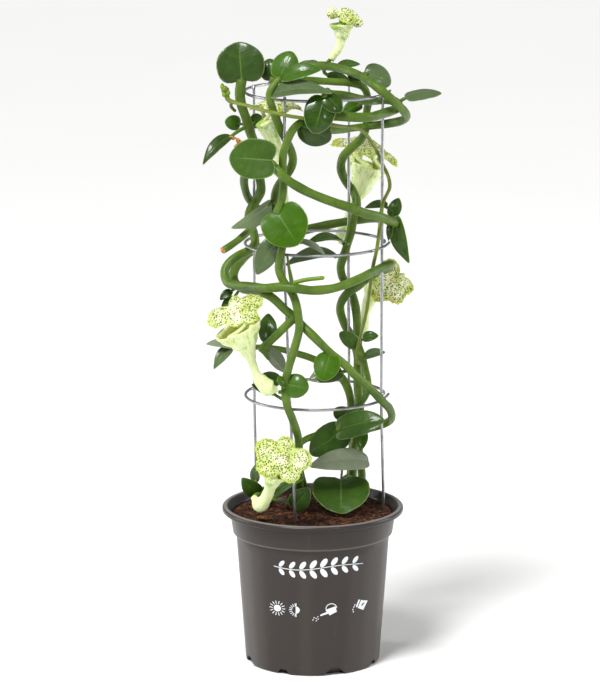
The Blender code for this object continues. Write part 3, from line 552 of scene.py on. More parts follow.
def drawSprig(work, look):
    x, y = look["sprig"]
    half = look["sprigHalf"]
    for i in range(look["sprigBars"]):
        t = -1 + 2 * (i + 0.5) / look["sprigBars"]
        addBar(work, (x + half * t, y + 1.3 * math.sin(3 * t)), (2.6, 0.45), 0.14 * math.cos(3 * t))
    for i in range(look["sprigPairs"]):
        t = -0.88 + 1.66 * i / (look["sprigPairs"] - 1)
        size = 3.5 - 1.1 * abs(t)
        for side in (1, -1):
            middle = (x + half * t + 1.5, y + 1.3 * math.sin(3 * t) + side * (0.9 + 0.75 * size))
            addDisc(work, middle, size, 0.52, side * 0.95, 20)


def makePrint(look, pot, ink):
    flat = bmesh.new()
    for draw in (drawSuns, drawCan, drawPacket, drawSprig):
        draw(flat, look)
    bmesh.ops.solidify(flat, geom=flat.faces[:], thickness=look["thick"])
    slope = (pot["body"] - pot["foot"]) / (pot["stepHeight"] - pot["stepDrop"] - pot["footRound"])
    for vert in flat.verts:
        height = vert.co.y
        wall = pot["foot"] + slope * (height - pot["footRound"])
        turn = math.asin(max(-0.99, min(0.99, vert.co.x / wall)))
        radius = wall + look["lift"] + abs(vert.co.z)
        vert.co = Vector((radius * math.sin(turn), -radius * math.cos(turn), height)) * mm
    bmesh.ops.recalc_face_normals(flat, faces=flat.faces)
    finished("printedSigns", flat, [ink], [], smooth=False)
    print("signs made")


# the soil and the bark chip on it

soilLook = {
    "edge": 100.0, "crown": 101.4, "radius": 53.1, "rings": 52, "spinSteps": 150,
    "wall": ((0, 2.7), (37.5, 2.7), (43.1, 7.5), (49.0, 85.9), (51.1, 89.3)),  # radius and height
    "seed": 11, "crumbs": 950, "fineShare": 0.8, "fineCrumb": (0.35, 0.85), "coarseCrumb": (0.9, 1.7),
    "fibres": 210, "fibreLength": (2.5, 8), "fibreThick": (0.14, 0.34),
    "dark": (0.016, 0.0058, 0.0026), "brown": (0.062, 0.021, 0.0085), "rust": (0.20, 0.062, 0.020),
    "grain": (0.30, 0.15, 0.07), "fibreDark": (0.10, 0.032, 0.012), "fibreLight": (0.36, 0.15, 0.055),
    "barkDark": (0.13, 0.042, 0.014), "barkLight": (0.50, 0.22, 0.09), "chip": (-33.0, -24.5),
}


def peat(look):
    earth = Finish("peat", Specular_IOR_Level=0.3)
    fine = earth.noise(520, 5, 0.7)
    grains = earth.cells(420)
    patch = earth.noise(150, 3, 0.6)
    colour = earth.layered(
        look["dark"], (fine.above(0.38, 0.62), look["brown"]),
        (patch.above(0.52, 0.70) * 0.75, look["rust"]), (grains.above(0.16, 0.02) * 0.25, look["grain"]))
    earth.paint(Base_Color=colour, Roughness=0.78 + fine * 0.2)
    earth.bump(fine + grains * 0.6, 0.0006, 0.9)
    return earth.material


def peatFibre(look):
    strand = Finish("peatFibre", Specular_IOR_Level=0.3)
    tone = strand.noise(260, 2, 0.5)
    colour = strand.mix(tone.above(0.3, 0.7), look["fibreDark"], look["fibreLight"])
    strand.paint(Base_Color=colour, Roughness=0.7 + tone * 0.25)
    strand.bump(strand.noise(2600, 3, 0.6), 0.0002, 0.6)
    return strand.material


def barkFlake(look):
    bark = Finish("barkFlake", Specular_IOR_Level=0.35)
    ridges = bark.noise(620, 5, 0.7, bark.stretched((1, 0.25, 1)))
    colour = bark.mix(ridges.above(0.35, 0.65), look["barkDark"], look["barkLight"])
    bark.paint(Base_Color=colour, Roughness=0.65 + ridges * 0.25)
    bark.bump(ridges, 0.0007, 0.9)
    return bark.material


def soilHeight(look, x, y):
    reach = min(1.0, math.hypot(x, y) / look["radius"])
    height = look["crown"] + (look["edge"] - look["crown"]) * reach ** 2
    height += 0.75 * noise.noise(Vector((x, y, 3)) * 0.16) + 0.55 * noise.noise(Vector((x, y, 9)) * 0.52)
    return height + 0.35 * noise.noise(Vector((x, y, 4)) * 1.3)


def addCrumbs(work, look, draw):
    for i in range(look["crumbs"]):
        turn, reach = draw.uniform(0, math.tau), look["radius"] * math.sqrt(draw.uniform(0, 0.93))
        x, y = reach * math.cos(turn), reach * math.sin(turn)
        kind = "fineCrumb" if draw.random() < look["fineShare"] else "coarseCrumb"
        size = draw.uniform(*look[kind])
        crumb = bmesh.new()
        bmesh.ops.create_icosphere(crumb, subdivisions=1 if size < 0.6 else 2, radius=1)
        for vert in crumb.verts:
            vert.co *= 1 + 0.35 * noise.noise(vert.co * 1.6 + Vector((i, 0, 0)))
        shape = Matrix.Diagonal((size, size * draw.uniform(0.6, 1), size * draw.uniform(0.5, 0.8), 1))
        place = Matrix.Translation((x, y, soilHeight(look, x, y) + 0.15 * size))
        turned = Matrix.Rotation(draw.uniform(0, math.tau), 4, "Z")
        leaned = Matrix.Rotation(draw.uniform(-0.6, 0.6), 4, "X")
        addShape(work, placed(crumb, place, turned @ leaned, shape))


def addFibres(work, look, draw):
    radius = look["radius"]
    for i in range(look["fibres"]):
        turn, reach = draw.uniform(0, math.tau), (radius - 4) * math.sqrt(draw.random())
        x, y = reach * math.cos(turn), reach * math.sin(turn)
        heading, bend = draw.uniform(0, math.tau), draw.uniform(-1.2, 1.2)
        length = draw.uniform(*look["fibreLength"])
        points = []
        for k in range(5):
            points.append((x, y, soilHeight(look, x, y) + 0.5 + draw.uniform(-0.3, 0.5)))
            x += 0.25 * length * math.cos(heading + bend * k / 4)
            y += 0.25 * length * math.sin(heading + bend * k / 4)
            if math.hypot(x, y) > radius - 1.5:
                break
        if len(points) > 2:
            thick = draw.uniform(*look["fibreThick"])
            addTube(work, points, ((0, thick), (1, 0.5 * thick)), sides=0, material=1)


def makeSoil(look, materials):
    radius, rings, edge = look["radius"], look["rings"], look["edge"]
    outline = [*look["wall"], (radius, edge - 0.8)]
    outline += [(radius * (1 - i / rings), edge) for i in range(1, rings + 1)]
    work = spun(outline, look["spinSteps"])
    for vert in work.verts:
        if vert.co.z > (edge - 0.2) * mm:
            vert.co.z = soilHeight(look, vert.co.x / mm, vert.co.y / mm) * mm
    draw = random.Random(look["seed"])
    addCrumbs(work, look, draw)
    addFibres(work, look, draw)
    finished("pottingSoil", work, materials, ["soil"])
    print("soil made")


def makeChip(look, bark):
    work = bmesh.new()
    bmesh.ops.create_icosphere(work, subdivisions=4, radius=1)
    for vert in work.verts:
        p = vert.co.copy()
        p.x *= 1 + 0.25 * noise.noise(p * 1.4)
        p.z *= 0.8 + 0.5 * noise.noise(Vector((p.x * 2, p.y * 5, 1)))
        vert.co = Vector((p.x * 4.1 + p.y * 1.1, p.y * 2.9, p.z * 1.4 + 0.25 * noise.noise(p * 3.5)))
    turn = Matrix.Rotation(0.6, 4, "Z") @ Matrix.Rotation(0.15, 4, "Y") @ Matrix.Rotation(0.1, 4, "X")
    placed(work, Matrix.Translation((*look["chip"], look["crown"] + 1.2)), turn)
    finished("barkChip", work, [bark], ["bark_chip"])


# the wire cage

cageLook = {
    "x": 1.7, "wire": 0.95, "hoop": 46.05, "heights": (180, 281.5, 381.5), "start": 99, "sweep": 353,
    "steps": 120, "tail": 27, "tailOut": 2.2, "bead": (1.0, 1.5, 1.0),
    "upright": 43.6, "bends": (383.4, 332, 281.5, 230, 174), "soilTop": 104.4,
    "uprights": {  # angles at the top, middle and lower hoop, and the foot in the soil
        "cage_upright_front": (-27.2, -28.0, -22.0, (-11.8, -30.0, 55.0)),
        "cage_upright_right": (94.0, 94.0, 93.0, (47.2, 10.0, 89.0)),
        "cage_upright_back": (149.5, 149.5, 149.0, (19.0, 40.5, 60.0)),
        "cage_upright_left": (-112.6, -112.6, -112.0, (-37.5, 19.0, 55.0)),
    },
    "zinc": (0.36, 0.36, 0.375), "bright": (0.60, 0.60, 0.62), "dull": (0.19, 0.19, 0.195),
}


def galvanised(look):
    zinc = Finish("galvanised")
    flakes = zinc.cells(900)
    streak = zinc.noise(90, 4, 0.65)
    colour = zinc.layered(look["zinc"], (flakes.above(0.2, 0.75) * 0.35, look["bright"]),
                          (streak.above(0.48, 0.66) * 0.6, look["dull"]))
    metal = 0.95 - streak.above(0.6, 0.8) * 0.3
    zinc.paint(Base_Color=colour, Roughness=0.26 + streak * 0.22, Metallic=metal)
    zinc.bump(streak + flakes * 0.2, 0.00008, 0.4)
    return zinc.material


def cagePoint(look, angle, radius, height):
    turn = math.radians(angle)
    return Vector((look["x"] + radius * math.sin(turn), -radius * math.cos(turn), height))


def makeHoop(look, label, height, even, zinc):
    points = []
    for i in range(look["steps"] + 1):
        turned = look["sweep"] * i / look["steps"]
        leaving = max(0.0, 1 - (look["sweep"] - turned) / look["tail"])
        radius = look["hoop"] + look["tailOut"] * leaving ** 2
        points.append(cagePoint(look, look["start"] + turned, radius, height))
    work = bmesh.new()
    addTube(work, points, even)
    finished("hoop" + label.title(), work, [zinc], ["cage_hoop_" + label])


def makeUpright(look, name, even, zinc):
    top, middle, lower, foot = look["uprights"][name]
    angles = (top, (top + middle) / 2, middle, (middle + lower) / 2, lower)
    points = [cagePoint(look, a, look["upright"], z) for a, z in zip(angles, look["bends"])]
    above = Vector((foot[0], foot[1], look["soilTop"]))
    points += [points[-1].lerp(above, 0.55), above, Vector(foot)]
    work = bmesh.new()
    addTube(work, along(points, 5), even)
    beadRadius = (look["upright"] + look["hoop"]) / 2
    for angle, height in zip((top, middle, lower), reversed(look["heights"])):  # weld beads
        bead = bmesh.new()
        bmesh.ops.create_icosphere(bead, subdivisions=2, radius=1)
        place = Matrix.Translation(cagePoint(look, angle, beadRadius, height))
        turn = Matrix.Rotation(math.radians(angle), 4, "Z")
        addShape(work, placed(bead, place, turn, Matrix.Diagonal((*look["bead"], 1))))
    label = name.split("_")[-1].title()
    finished("upright" + label, work, [zinc], [name])


def makeCage(look, zinc):
    even = ((0, look["wire"]), (1, look["wire"]))
    for label, height in zip(("lower", "middle", "top"), look["heights"]):
        makeHoop(look, label, height, even, zinc)
    for name in look["uprights"]:
        makeUpright(look, name, even, zinc)
    print("cage made")


# stems and leaves

leafLook = {
    "blade": 1.5, "groove": 0.30, "small": 13,  # a shorter leaf than this counts as small
    "large": (32, 12), "little": (20, 8),  # sides and rows of a large and a small blade
    "seated": 4.5, "seatDepth": 0.85,  # a leaf nearer to the stem than this sits on it without a stalk
    "stalk": 1.25, "smallStalk": 1.0, "stemStep": 2.2, "twigStep": 1.8, "uneven": 0.10, "rootHeight": 68,
    "forms": {  # base lobes, tip, fold of the sides and arch along the blade
        "heart": (0.17, 0.03, 0.05, 0.05),
        "round": (0.06, 0.02, -0.08, 0.08),
        "oval": (0.04, 0.08, 0.10, 0.08),
        "long": (0.02, 0.14, 0.14, 0.10),
    },
    "tones": {  # lightness, greyness and gloss of a leaf; greyness is partly the leaf's own grey tone and partly a painted grey sheen
        "deep": (0.16, 0.04, 0.6), "mid": (0.36, 0.05, 0.5), "fresh": (0.58, 0.04, 0.6),
        "bright": (0.62, 0.0, 0.10), "grey": (0.30, 0.26, 0.45), "silver": (0.42, 0.85, 0.3),
        "glossy": (0.14, 0.0, 1.0),
    },
    # the grey colour is both the leaf's grey tone and a painted sheen
    "dark": (0.015, 0.040, 0.002), "light": (0.058, 0.165, 0.001), "bloom": (0.25, 0.28, 0.20),
    "margin": (0.26, 0.36, 0.10), "rib": (0.15, 0.25, 0.05), "under": (0.08, 0.14, 0.035),
    "speck": (0.30, 0.36, 0.16), "dry": ((0.20, 0.075, 0.02), (0.72, 0.36, 0.12)),
}
stemLook = {  # dark and light colour of each kind of stem, and how scarred it is
    "stemSkin": ((0.030, 0.072, 0.005), (0.160, 0.265, 0.030), 0.2),
    "youngStem": ((0.110, 0.220, 0.008), (0.26, 0.42, 0.030), 0.0),
    "paleStem": ((0.070, 0.100, 0.008), (0.25, 0.31, 0.040), 0.5),
}
skins = {"stem": 0, "leaf": 1, "dry": 2, "young": 3}  # the order of a vine's materials


def leafSkin(look):
    # leafTone holds lightness, greyness and gloss, and 1 on the upper face; leafPlace holds how far
    # across, how far along and how far out from the middle
    skin = Finish("leafSkin", IOR=1.40, Specular_IOR_Level=0.18, Coat_Roughness=0.12)
    tone = skin.attribute("leafTone")
    light, grey, gloss = skin.parts(tone.outputs["Vector"])
    under = 1.0 - Wave(tone.outputs["Alpha"])
    across, ahead, reach = skin.parts(skin.attribute("leafPlace").outputs["Vector"])
    mottle = skin.noise(230, 4, 0.6)
    patch = skin.noise(60, 2, 0.5)
    veinPath = skin.node("CombineXYZ", {}, {0: across.size() * 2.2 - ahead * 5.5, 1: across * 0.6, 2: 0.0})
    vein = skin.noise(1.9, 1, 0.4, veinPath.outputs[0])
    veins = (vein - 0.5).size().above(0.030, 0.0) * reach.above(0.98, 0.6) * 0.10
    rib = across.size().above(0.024, 0.004) * ahead.above(1.0, 0.45) * 0.55
    edge = reach.above(0.945, 0.985) * (0.55 + (mottle - 0.5) * 1.2)
    speck = skin.cells(950).above(0.13, 0.05) * patch.above(0.5, 0.7) * 0.35
    lit = (light + (mottle - 0.5) * 0.45 + (patch - 0.5) * 0.5).held()
    # greyness lays the leaf's grey tone and a painted grey sheen over the blade
    colour = skin.layered(
        look["dark"], (lit, look["light"]), (veins, look["rib"]),
        ((grey * (0.75 + mottle * 0.5)).held(), look["bloom"]), (under * 0.6, look["under"]),
        (rib, look["rib"]), (edge.held(), look["margin"]), (speck, look["speck"]))
    rough = 0.46 - gloss * 0.16 + (mottle - 0.5) * 0.22 + grey * 0.1 + under * 0.12
    skin.paint(Base_Color=colour, Coat_Weight=gloss * 0.55, Roughness=rough)
    skin.bump(mottle * 0.6 - rib * 1.2 - veins * 1.6 + skin.noise(1500, 2, 0.6) * 0.15, 0.0006, 0.45)
    return skin.material


def stemSkin(name, dark, light, scarred):
    skin = Finish(name, IOR=1.42, Specular_IOR_Level=0.32)
    mottle = skin.noise(120, 4, 0.65)
    fine = skin.noise(900, 3, 0.6)
    patch = skin.noise(26, 3, 0.6)
    share = (0.42 + (mottle - 0.5) * 0.9 + (patch - 0.5) * 1.3).held()
    pores = skin.cells(520).above(0.14, 0.04) * mottle.above(0.45, 0.6)
    scar = skin.noise(330, 5, 0.75).above(0.66, 0.74) * scarred
    poreColour, scarColour = (0.40, 0.46, 0.24), (0.24, 0.19, 0.09)
    colour = skin.layered(dark, (share, light), (pores * 0.45, poreColour), (scar, scarColour))
    skin.paint(Base_Color=colour, Roughness=0.40 + (fine - 0.5) * 0.25 + scar * 0.3)
    skin.bump(mottle + fine * 0.3 + pores * 0.4, 0.0004, 0.5)
    return skin.material


def dryTip(look):
    skin = Finish("dryTip")
    tone = skin.noise(700, 4, 0.7)
    skin.paint(Base_Color=skin.mix(tone.above(0.35, 0.65), *look["dry"]), Roughness=0.6 + tone * 0.3)
    skin.bump(tone, 0.0005, 0.8)
    return skin.material


def addLeaf(work, base, tip, facing, width, form, tone, look):
    # a fleshy blade: a ball flattened to the leaf's outline, then folded, arched and grooved
    lobes, point, fold, arch = look["forms"][form]
    length = (tip - base).length
    ahead = (tip - base).normalized()
    up = Vector(facing)
    up = (up - ahead * up.dot(ahead)).normalized()
    side = ahead.cross(up)
    sides, rows = look["large"] if length > look["small"] else look["little"]
    blade = bmesh.new()
    bmesh.ops.create_uvsphere(blade, u_segments=sides, v_segments=rows, radius=1)
    toneLayer = blade.verts.layers.float_color.new("leafTone")
    placeLayer = blade.verts.layers.float_vector.new("leafPlace")
    lean = noise.noise(base * 0.37)
    for vert in blade.verts:
        p = vert.co.copy()
        reach = min(1.0, math.hypot(p.x, p.y))
        turn = math.atan2(p.x, p.y)
        across = 0.5 * width * math.sin(turn) * (1 - 0.14 * math.cos(turn))
        out = length * (0.5 + 0.5 * math.cos(turn))
        out -= 2 * lobes * length * max(0, -math.cos(turn)) * abs(math.sin(turn))
        out += point * length * max(0, math.cos(turn)) ** 12
        u = reach * across
        v = 0.5 * length + reach * (out - 0.5 * length)
        w = p.z * 0.5 * look["blade"]
        w += fold * (2 * abs(u) / width) ** 1.5 * width
        w += arch * length * 4 * (v / length) * (1 - v / length)
        if p.z > 0:  # the groove over the midrib, and slightly raised halves
            w -= look["groove"] * math.exp(-(u / 0.9) ** 2) * (1 - reach ** 6)
        w += 0.022 * width * noise.noise(Vector((u, v, 7 * lean)) * 0.16) * (0.4 + reach)
        vert.co = (base + side * u + ahead * v + up * w) * mm
        vert[toneLayer] = (*tone, 1.0 if p.z >= -0.02 else 0.0)
        vert[placeLayer] = (u / width, v / length, reach)
    addShape(work, blade, skins["leaf"])


def addKnob(work, place, size, material=0, squeeze=1.0, axis=(0, 0, 1)):
    knob = bmesh.new()
    bmesh.ops.create_uvsphere(knob, u_segments=12, v_segments=8, radius=size * mm)
    turn = turnedTo(axis).to_4x4() @ Matrix.Diagonal((1, 1, squeeze, 1))
    bmesh.ops.transform(knob, matrix=Matrix.Translation(Vector(place) * mm) @ turn, verts=knob.verts)
    addShape(work, knob, material)


def dotted(points):
    return [a.lerp(b, t / 4) for a, b in zip(points, points[1:]) for t in range(4)] + [points[-1]]


def addStalk(work, start, base, tip, size):
    # a bent stalk from the stem into the blade
    ahead = (tip - base).normalized()
    sunk = base + ahead * min(3.0, 0.25 * (tip - base).length)
    middle = start.lerp(base, 0.6) - ahead * min(1.5, 0.15 * (start - base).length)
    girth = ((0, size * 1.1), (0.3, size), (1, 0.8 * size))
    addTube(work, along((start, middle, sunk), 1.2), girth, sides=3)


def makeVine(name, vine, look, materials):
    # stem, side stems, stalks and leaves of one vine
    work = bmesh.new()
    work.verts.layers.float_color.new("leafTone")
    work.verts.layers.float_vector.new("leafPlace")
    stem = along(vine["stem"], look["stemStep"])
    if vine.get("rooted", True):  # the stem goes on down into the soil
        stem.insert(0, Vector((*vine["stem"][0][:2], look["rootHeight"])))
    addTube(work, stem, vine["girth"], uneven=look["uneven"])
    near = dotted(stem)
    for i, (points, (start, end)) in enumerate(vine.get("twigs", ())):
        twig = along(points, look["twigStep"])
        skin = skins["young" if i in vine.get("young", ()) else "stem"]
        addTube(work, twig, ((0, start), (1, end)), material=skin, uneven=look["uneven"])
        near += dotted(twig)
        addKnob(work, points[-1], end * 1.02, skin)
    for base, tip, facing, width, form, tone in vine.get("leaves", ()):
        base, tip = Vector(base), Vector(tip)
        start = min(near, key=lambda p: (p - base).length)
        size = look["smallStalk" if (tip - base).length < look["small"] else "stalk"]
        if (start - base).length < look["seated"]:
            base = base.lerp(start, look["seatDepth"])
        else:
            addStalk(work, start, base, tip, size)
        addKnob(work, start, size * 1.5, squeeze=0.9)
        addLeaf(work, base, tip, facing, width, form, look["tones"][tone], look)
    for place, size, squeeze, axis, skin in vine.get("knobs", ()):
        addKnob(work, place, size, skins[skin], squeeze, axis)
    for points, start, end, skin in vine.get("tendrils", ()):
        addTube(work, along(points, 1.0), ((0, start), (1, end)), sides=2, material=skins[skin])
    finished(pieceName(name), work, materials, [name])


# each vine: its main stem's points and its girth as (share of the length, radius), side stems with
# their radius at the start and the end, and leaves as the blade's base and tip, the way its upper
# face looks, its width, form and tone; young names the side stems in the lighter skin, and knobs
# and tendrils are buds, cut ends and dry remains: their place or points, sizes and skin
vines = {
    "vine_front": {
        "stem": [
            (-8, 13, 103), (-9, -3, 122), (-9.5, -20, 140), (-9.5, -35, 158), (-13, -46, 173),
            (-17, -50.5, 185), (-18, -49, 197), (-16, -49, 208), (-12, -51, 222), (-9, -52, 235),
            (-10, -52, 247), (-13, -50, 257), (-19, -46.5, 265), (-22, -45.5, 273), (-21, -46.5, 282),
            (-20, -45, 289), (-23.5, -41, 297), (-25, -34, 305), (-25, -29, 313), (-24, -28, 321),
            (-20, -30, 328), (-15, -32, 335), (-13, -32, 342), (-15, -33, 350), (-19, -34, 358),
            (-22.5, -37.5, 366), (-26, -44, 377), (-28, -46, 386), (-25, -44, 392), (-21, -42, 396),
        ],
        "girth": ((0.0, 2.7), (0.9, 2.7), (1.0, 2.2)),
        "young": (1,),
        "twigs": [
            ([(-13, -50, 257), (-14, -48.5, 266), (-15.5, -47.5, 274), (-16.5, -47.5, 281)], (1.7, 0.8)),
            ([(-14, -48.5, 264), (-5, -49, 266.5), (6, -50, 268)], (1.5, 1.3)),
            ([(-18, -49, 193), (-21.4, -51.2, 193.2)], (1.3, 1.3)),
            ([(-17, -50, 187), (-22, -44, 188), (-27, -42, 191)], (1.1, 1.0)),
        ],
        "leaves": [
            ((-21, -42, 395), (-14, -36, 412), (-0.3, -0.9, 0.2), 18, "round", "fresh"),
            ((-19, -44, 396), (3, -46, 402), (0.0, -0.7, 0.7), 13, "oval", "fresh"),
            ((-9, -30, 402), (2, -22, 404), (0.0, 0.2, 1.0), 8, "oval", "grey"),
            ((-24, -48, 385), (7, -53, 389), (0.0, -0.55, 0.83), 15, "long", "grey"),
            ((-27, -33, 314), (-49, -22, 297), (0.2, 0.75, -0.6), 13, "long", "silver"),
            ((-22, -38, 292), (-35.5, -42, 270.5), (-0.2, -0.9, 0.35), 15, "oval", "grey"),
            ((-10, -38, 290), (7, -36, 281), (0.0, -0.5, 0.8), 6, "long", "silver"),
            ((-21, -45, 199), (-35, -42, 200.5), (0.0, -0.9, 0.4), 10, "oval", "deep"),
            ((-26, -42, 191), (-39, -38, 195), (0.0, -0.9, 0.3), 6, "oval", "deep"),
            ((-17, -52, 200), (-23, -55, 200.5), (-0.2, -0.9, 0.4), 9, "round", "fresh"),
            ((-16, -51, 198), (-3, -53, 196), (0.1, -0.95, 0.3), 16, "round", "fresh"),
            ((-13, -8, 105), (-3, -10, 118), (0.0, -1.0, 0.2), 14, "oval", "deep"),
        ],
    },
    "vine_hoops": {
        "stem": [
            (-3, 24, 103), (-6, 6, 119), (-9, -7, 135), (-10, -8, 144), (-6, -1, 149),
            (5, 8, 151), (18, 13, 152), (31, 12, 153), (43, 11, 156), (50.5, 8, 160), (52, -6, 167),
            (50, -16.5, 174.5), (46.5, -25, 180), (40.5, -33, 188), (34, -39, 196), (27, -44.5, 203),
            (21, -48, 210), (11, -50.5, 219), (1, -50.5, 229), (-7, -46, 236), (-12, -44.3, 241),
            (-18, -44.3, 246), (-25, -45, 253), (-31, -42, 256), (-41, -29, 255.5), (-47, -17, 255),
            (-51, -4, 256.5), (-52, 8, 260), (-48, 21, 265), (-40, 33, 270), (-25, 45, 274),
            (-8, 50.8, 280), (8, 50.8, 284), (25, 46, 288), (38, 38.5, 291), (47, 26, 293), (53, 12, 294),
            (54, -2, 295), (51, -15, 298), (44, -30, 304), (33, -41, 308.5), (24, -47, 313), (14, -51, 317),
            (4, -52.5, 321), (-5, -52.5, 325), (-15, -52.5, 331), (-22, -51.5, 337), (-28, -45, 342),
            (-33, -36, 344), (-39, -22, 341), (-43, -8, 332), (-45, 5, 322), (-44, 15, 313),
            (-42, 22.5, 307), (-38, 23.5, 302), (-34, 19, 299), (-34, 8, 297), (-38, -3, 294.5),
            (-41, -9, 292), (-47, -18, 288), (-54, -25, 284), (-58, -28, 282),
        ],
        "girth": ((0.0, 2.2), (0.1, 2.0), (0.16, 2.7), (0.55, 2.9), (0.8, 3.0), (1.0, 2.3)),
        "knobs": [
            ((-58.3, -28.2, 281.9), 2.35, 0.5, (-1, -0.7, -0.5), "dry"),
            ((-58.6, -27.4, 283.2), 1.0, 1, (0, 0, 1), "dry"),
        ],
        "twigs": [
            ([(-12, -44.3, 241), (-19, -45, 234), (-25, -44.5, 228), (-33, -42, 220)], (2.7, 2.7)),
            ([(-33, -42, 220), (-31, -42, 216), (-29, -42, 213.5)], (1.4, 1.2)),
        ],
        "leaves": [
            ((-26, -54, 345), (-53, -44, 345), (0.0, -0.95, 0.25), 26, "heart", "mid"),
            ((-53, -16, 253), (-60, -20, 248), (-0.3, -0.9, 0.3), 6, "oval", "deep"),
            ((-51, -14, 248), (-59, -18, 243), (-0.3, -0.9, 0.3), 6, "oval", "deep"),
            ((49, 10, 305), (35, 12, 303), (0.0, -0.5, 0.85), 8, "oval", "deep"),
            ((51, 6, 298), (56, 9, 309), (0.1, -0.95, 0.2), 9, "oval", "mid"),
            ((54, -2, 300), (61, -7, 273), (-0.5, -0.85, 0.2), 12, "long", "mid"),
            ((49, -18, 296), (49, -20, 288), (0.0, -1.0, 0.0), 4.5, "long", "deep"),
            ((-30, -39, 225), (-29, -33, 240), (0.0, -0.95, -0.2), 12, "oval", "mid"),
            ((-30, -38, 219), (-19, -34, 204), (0.3, -0.9, 0.2), 10, "long", "silver"),
            ((11, -54, 218), (6, -61, 203), (0.0, -0.85, 0.5), 17, "round", "bright"),
            ((19, -46, 205), (-1, -52, 202), (0.0, -0.75, 0.65), 14, "oval", "grey"),
            ((20, 9, 152), (-1, -5, 141), (-0.1, -0.95, 0.3), 21, "heart", "mid"),
            ((33, 8, 152), (32, 4, 142), (0.0, -1.0, 0.1), 8, "oval", "fresh"),
        ],
    },
    "vine_low": {
        "stem": [
            (23, 32, 103), (25, 31, 114), (26.5, 32, 129), (27, 32.5, 141), (27, 32.5, 154),
            (26, 33, 165), (24, 33, 175), (20, 34, 183), (12, 36.5, 190), (0, 38, 196), (-12, 37.5, 200),
            (-24, 32.5, 204), (-36, 28, 206), (-47, 20, 207), (-55, 10, 210),
        ],
        "girth": ((0.0, 2.7), (0.5, 2.8), (1.0, 1.6)),
        "leaves": [
            ((-53, 11, 211), (-69, 5, 213), (-0.1, -0.6, 0.8), 8, "oval", "silver"),
            ((-53, 10, 209), (-64, 2, 199), (-0.3, -0.8, 0.4), 9, "long", "grey"),
            ((24, 23, 159), (15, 16, 167), (-0.3, -0.9, 0.1), 12, "round", "mid"),
        ],
    },
    "vine_back": {
        "stem": [
            (26, 24, 103), (26.5, 20, 117), (27, 22.5, 131), (28.5, 24, 143), (30, 26, 154),
            (31.5, 27.5, 163), (31, 28.5, 171), (30, 29.5, 180), (30, 31, 190), (30, 33, 200),
            (30, 34.5, 209), (29.5, 38, 222), (28.5, 40.5, 231), (26, 43, 239), (22, 43, 246),
            (19.2, 40, 253), (18.7, 36, 260), (21, 33, 268), (23, 32.3, 275), (25, 32.5, 282),
            (26.5, 32.8, 290), (28.5, 34.5, 297), (29, 38.5, 303), (26.5, 42.8, 309), (22, 43.3, 315),
            (18.7, 39.5, 324), (20, 33.5, 333), (26, 31, 340), (32, 29, 346), (35, 25, 354), (35, 20, 364),
            (36, 16, 373), (33, 14, 382), (24, 14, 385), (14, 12, 386), (5, 8, 387), (-8, 2, 388.5),
            (-21, -6, 389.5), (-28, -9, 390),
        ],
        "girth": ((0.0, 2.9), (0.7, 2.9), (0.85, 2.4), (1.0, 2.4)),
        "twigs": [
            ([(30, 34, 208), (33, 26, 201), (35, 24, 193), (37, 22, 185), (36.5, 18, 178), (33, 14, 172),
              (26, 8, 167), (20, 2, 162), (17, -2, 157)], (2.1, 1.9)),
            ([(35, 24, 355), (47, 20, 357), (57, 10, 360.5), (60.5, -2, 365), (59, -14, 370),
              (54, -24, 376.5), (46, -28, 384), (38.5, -24, 389.5), (34, -14, 391), (30.5, -2, 392),
              (21, 14, 393.5), (11, 24, 394.5), (1, 30, 394), (-8, 30, 393), (-18, 26, 391.5)], (2.8, 2.8)),
            ([(8, 26, 394), (9.6, 25.3, 397), (11.2, 25.6, 398.5)], (1.2, 1.2)),
            ([(35, 24, 355), (24, 17, 354.5), (14, 3, 355.5), (4, -14, 360), (-3, -30, 366),
              (-8, -40, 367), (-13, -44, 363), (-16.5, -44, 356), (-19, -43.7, 348), (-19.5, -43.7, 339),
              (-19, -44, 329), (-20, -46, 319), (-23, -48, 311)], (2.4, 2.6)),
            ([(-3, -30, 366), (3, -34, 370), (12, -40, 371.5), (23, -42.5, 371), (36, -36, 370),
              (46, -22, 370.5), (53.5, -7, 371), (55.5, 5, 372), (51.5, 10.5, 374), (45.5, 11, 374.5),
              (39.5, 6.5, 374.5), (35.5, -8, 376.5), (27, -17, 379.5), (18.5, -26, 382.5), (11, -32, 384)],
             (3.1, 3.0)),
            ([(12, -31, 384), (9, -41, 388.5), (7, -49, 387.5), (7, -51, 385.5)], (1.4, 1.2)),
        ],
        "leaves": [
            ((-27, -7, 391), (-28.5, -3, 403), (0.0, -0.95, 0.2), 14, "round", "deep"),
            ((10, -51, 387), (17.5, -54, 376), (0.2, -0.85, 0.5), 13, "round", "glossy"),
            ((5, -51, 385), (0.5, -58, 363), (0.1, -0.95, 0.25), 20, "round", "glossy"),
            ((-7, -41, 364), (11, -44, 357), (0.0, -0.97, -0.1), 20, "round", "deep"),
            ((16, 26, 393), (30, 32, 395), (0.0, -0.5, 0.85), 9, "oval", "mid"),
            ((9, 30, 387), (23, 34, 385), (0.0, -0.5, 0.85), 8, "oval", "fresh"),
            ((31, 12, 386), (23, 16, 391), (0.0, -0.8, 0.5), 7, "oval", "deep"),
            ((31, -5, 374), (19, -13, 369), (0.0, -0.8, 0.5), 9, "oval", "fresh"),
            ((34, 40, 389.5), (51, 40, 380.5), (-0.1, -0.85, 0.5), 17, "round", "grey"),
            ((60, 0, 378), (83, 3, 380), (0.0, -0.2, 1.0), 20, "round", "grey"),
            ((-24, -51, 308), (-10, -56, 291), (0.0, -1.0, 0.15), 30, "heart", "bright"),
            ((17, 24, 268), (-14, 4, 268), (0.0, -0.45, 0.9), 14, "long", "grey"),
            ((22, 26, 276), (-1, 2, 282), (0.0, -0.4, 0.9), 12, "long", "mid"),
            ((27, 30, 206), (18, 27, 216), (0.0, -0.9, 0.2), 10, "round", "fresh"),
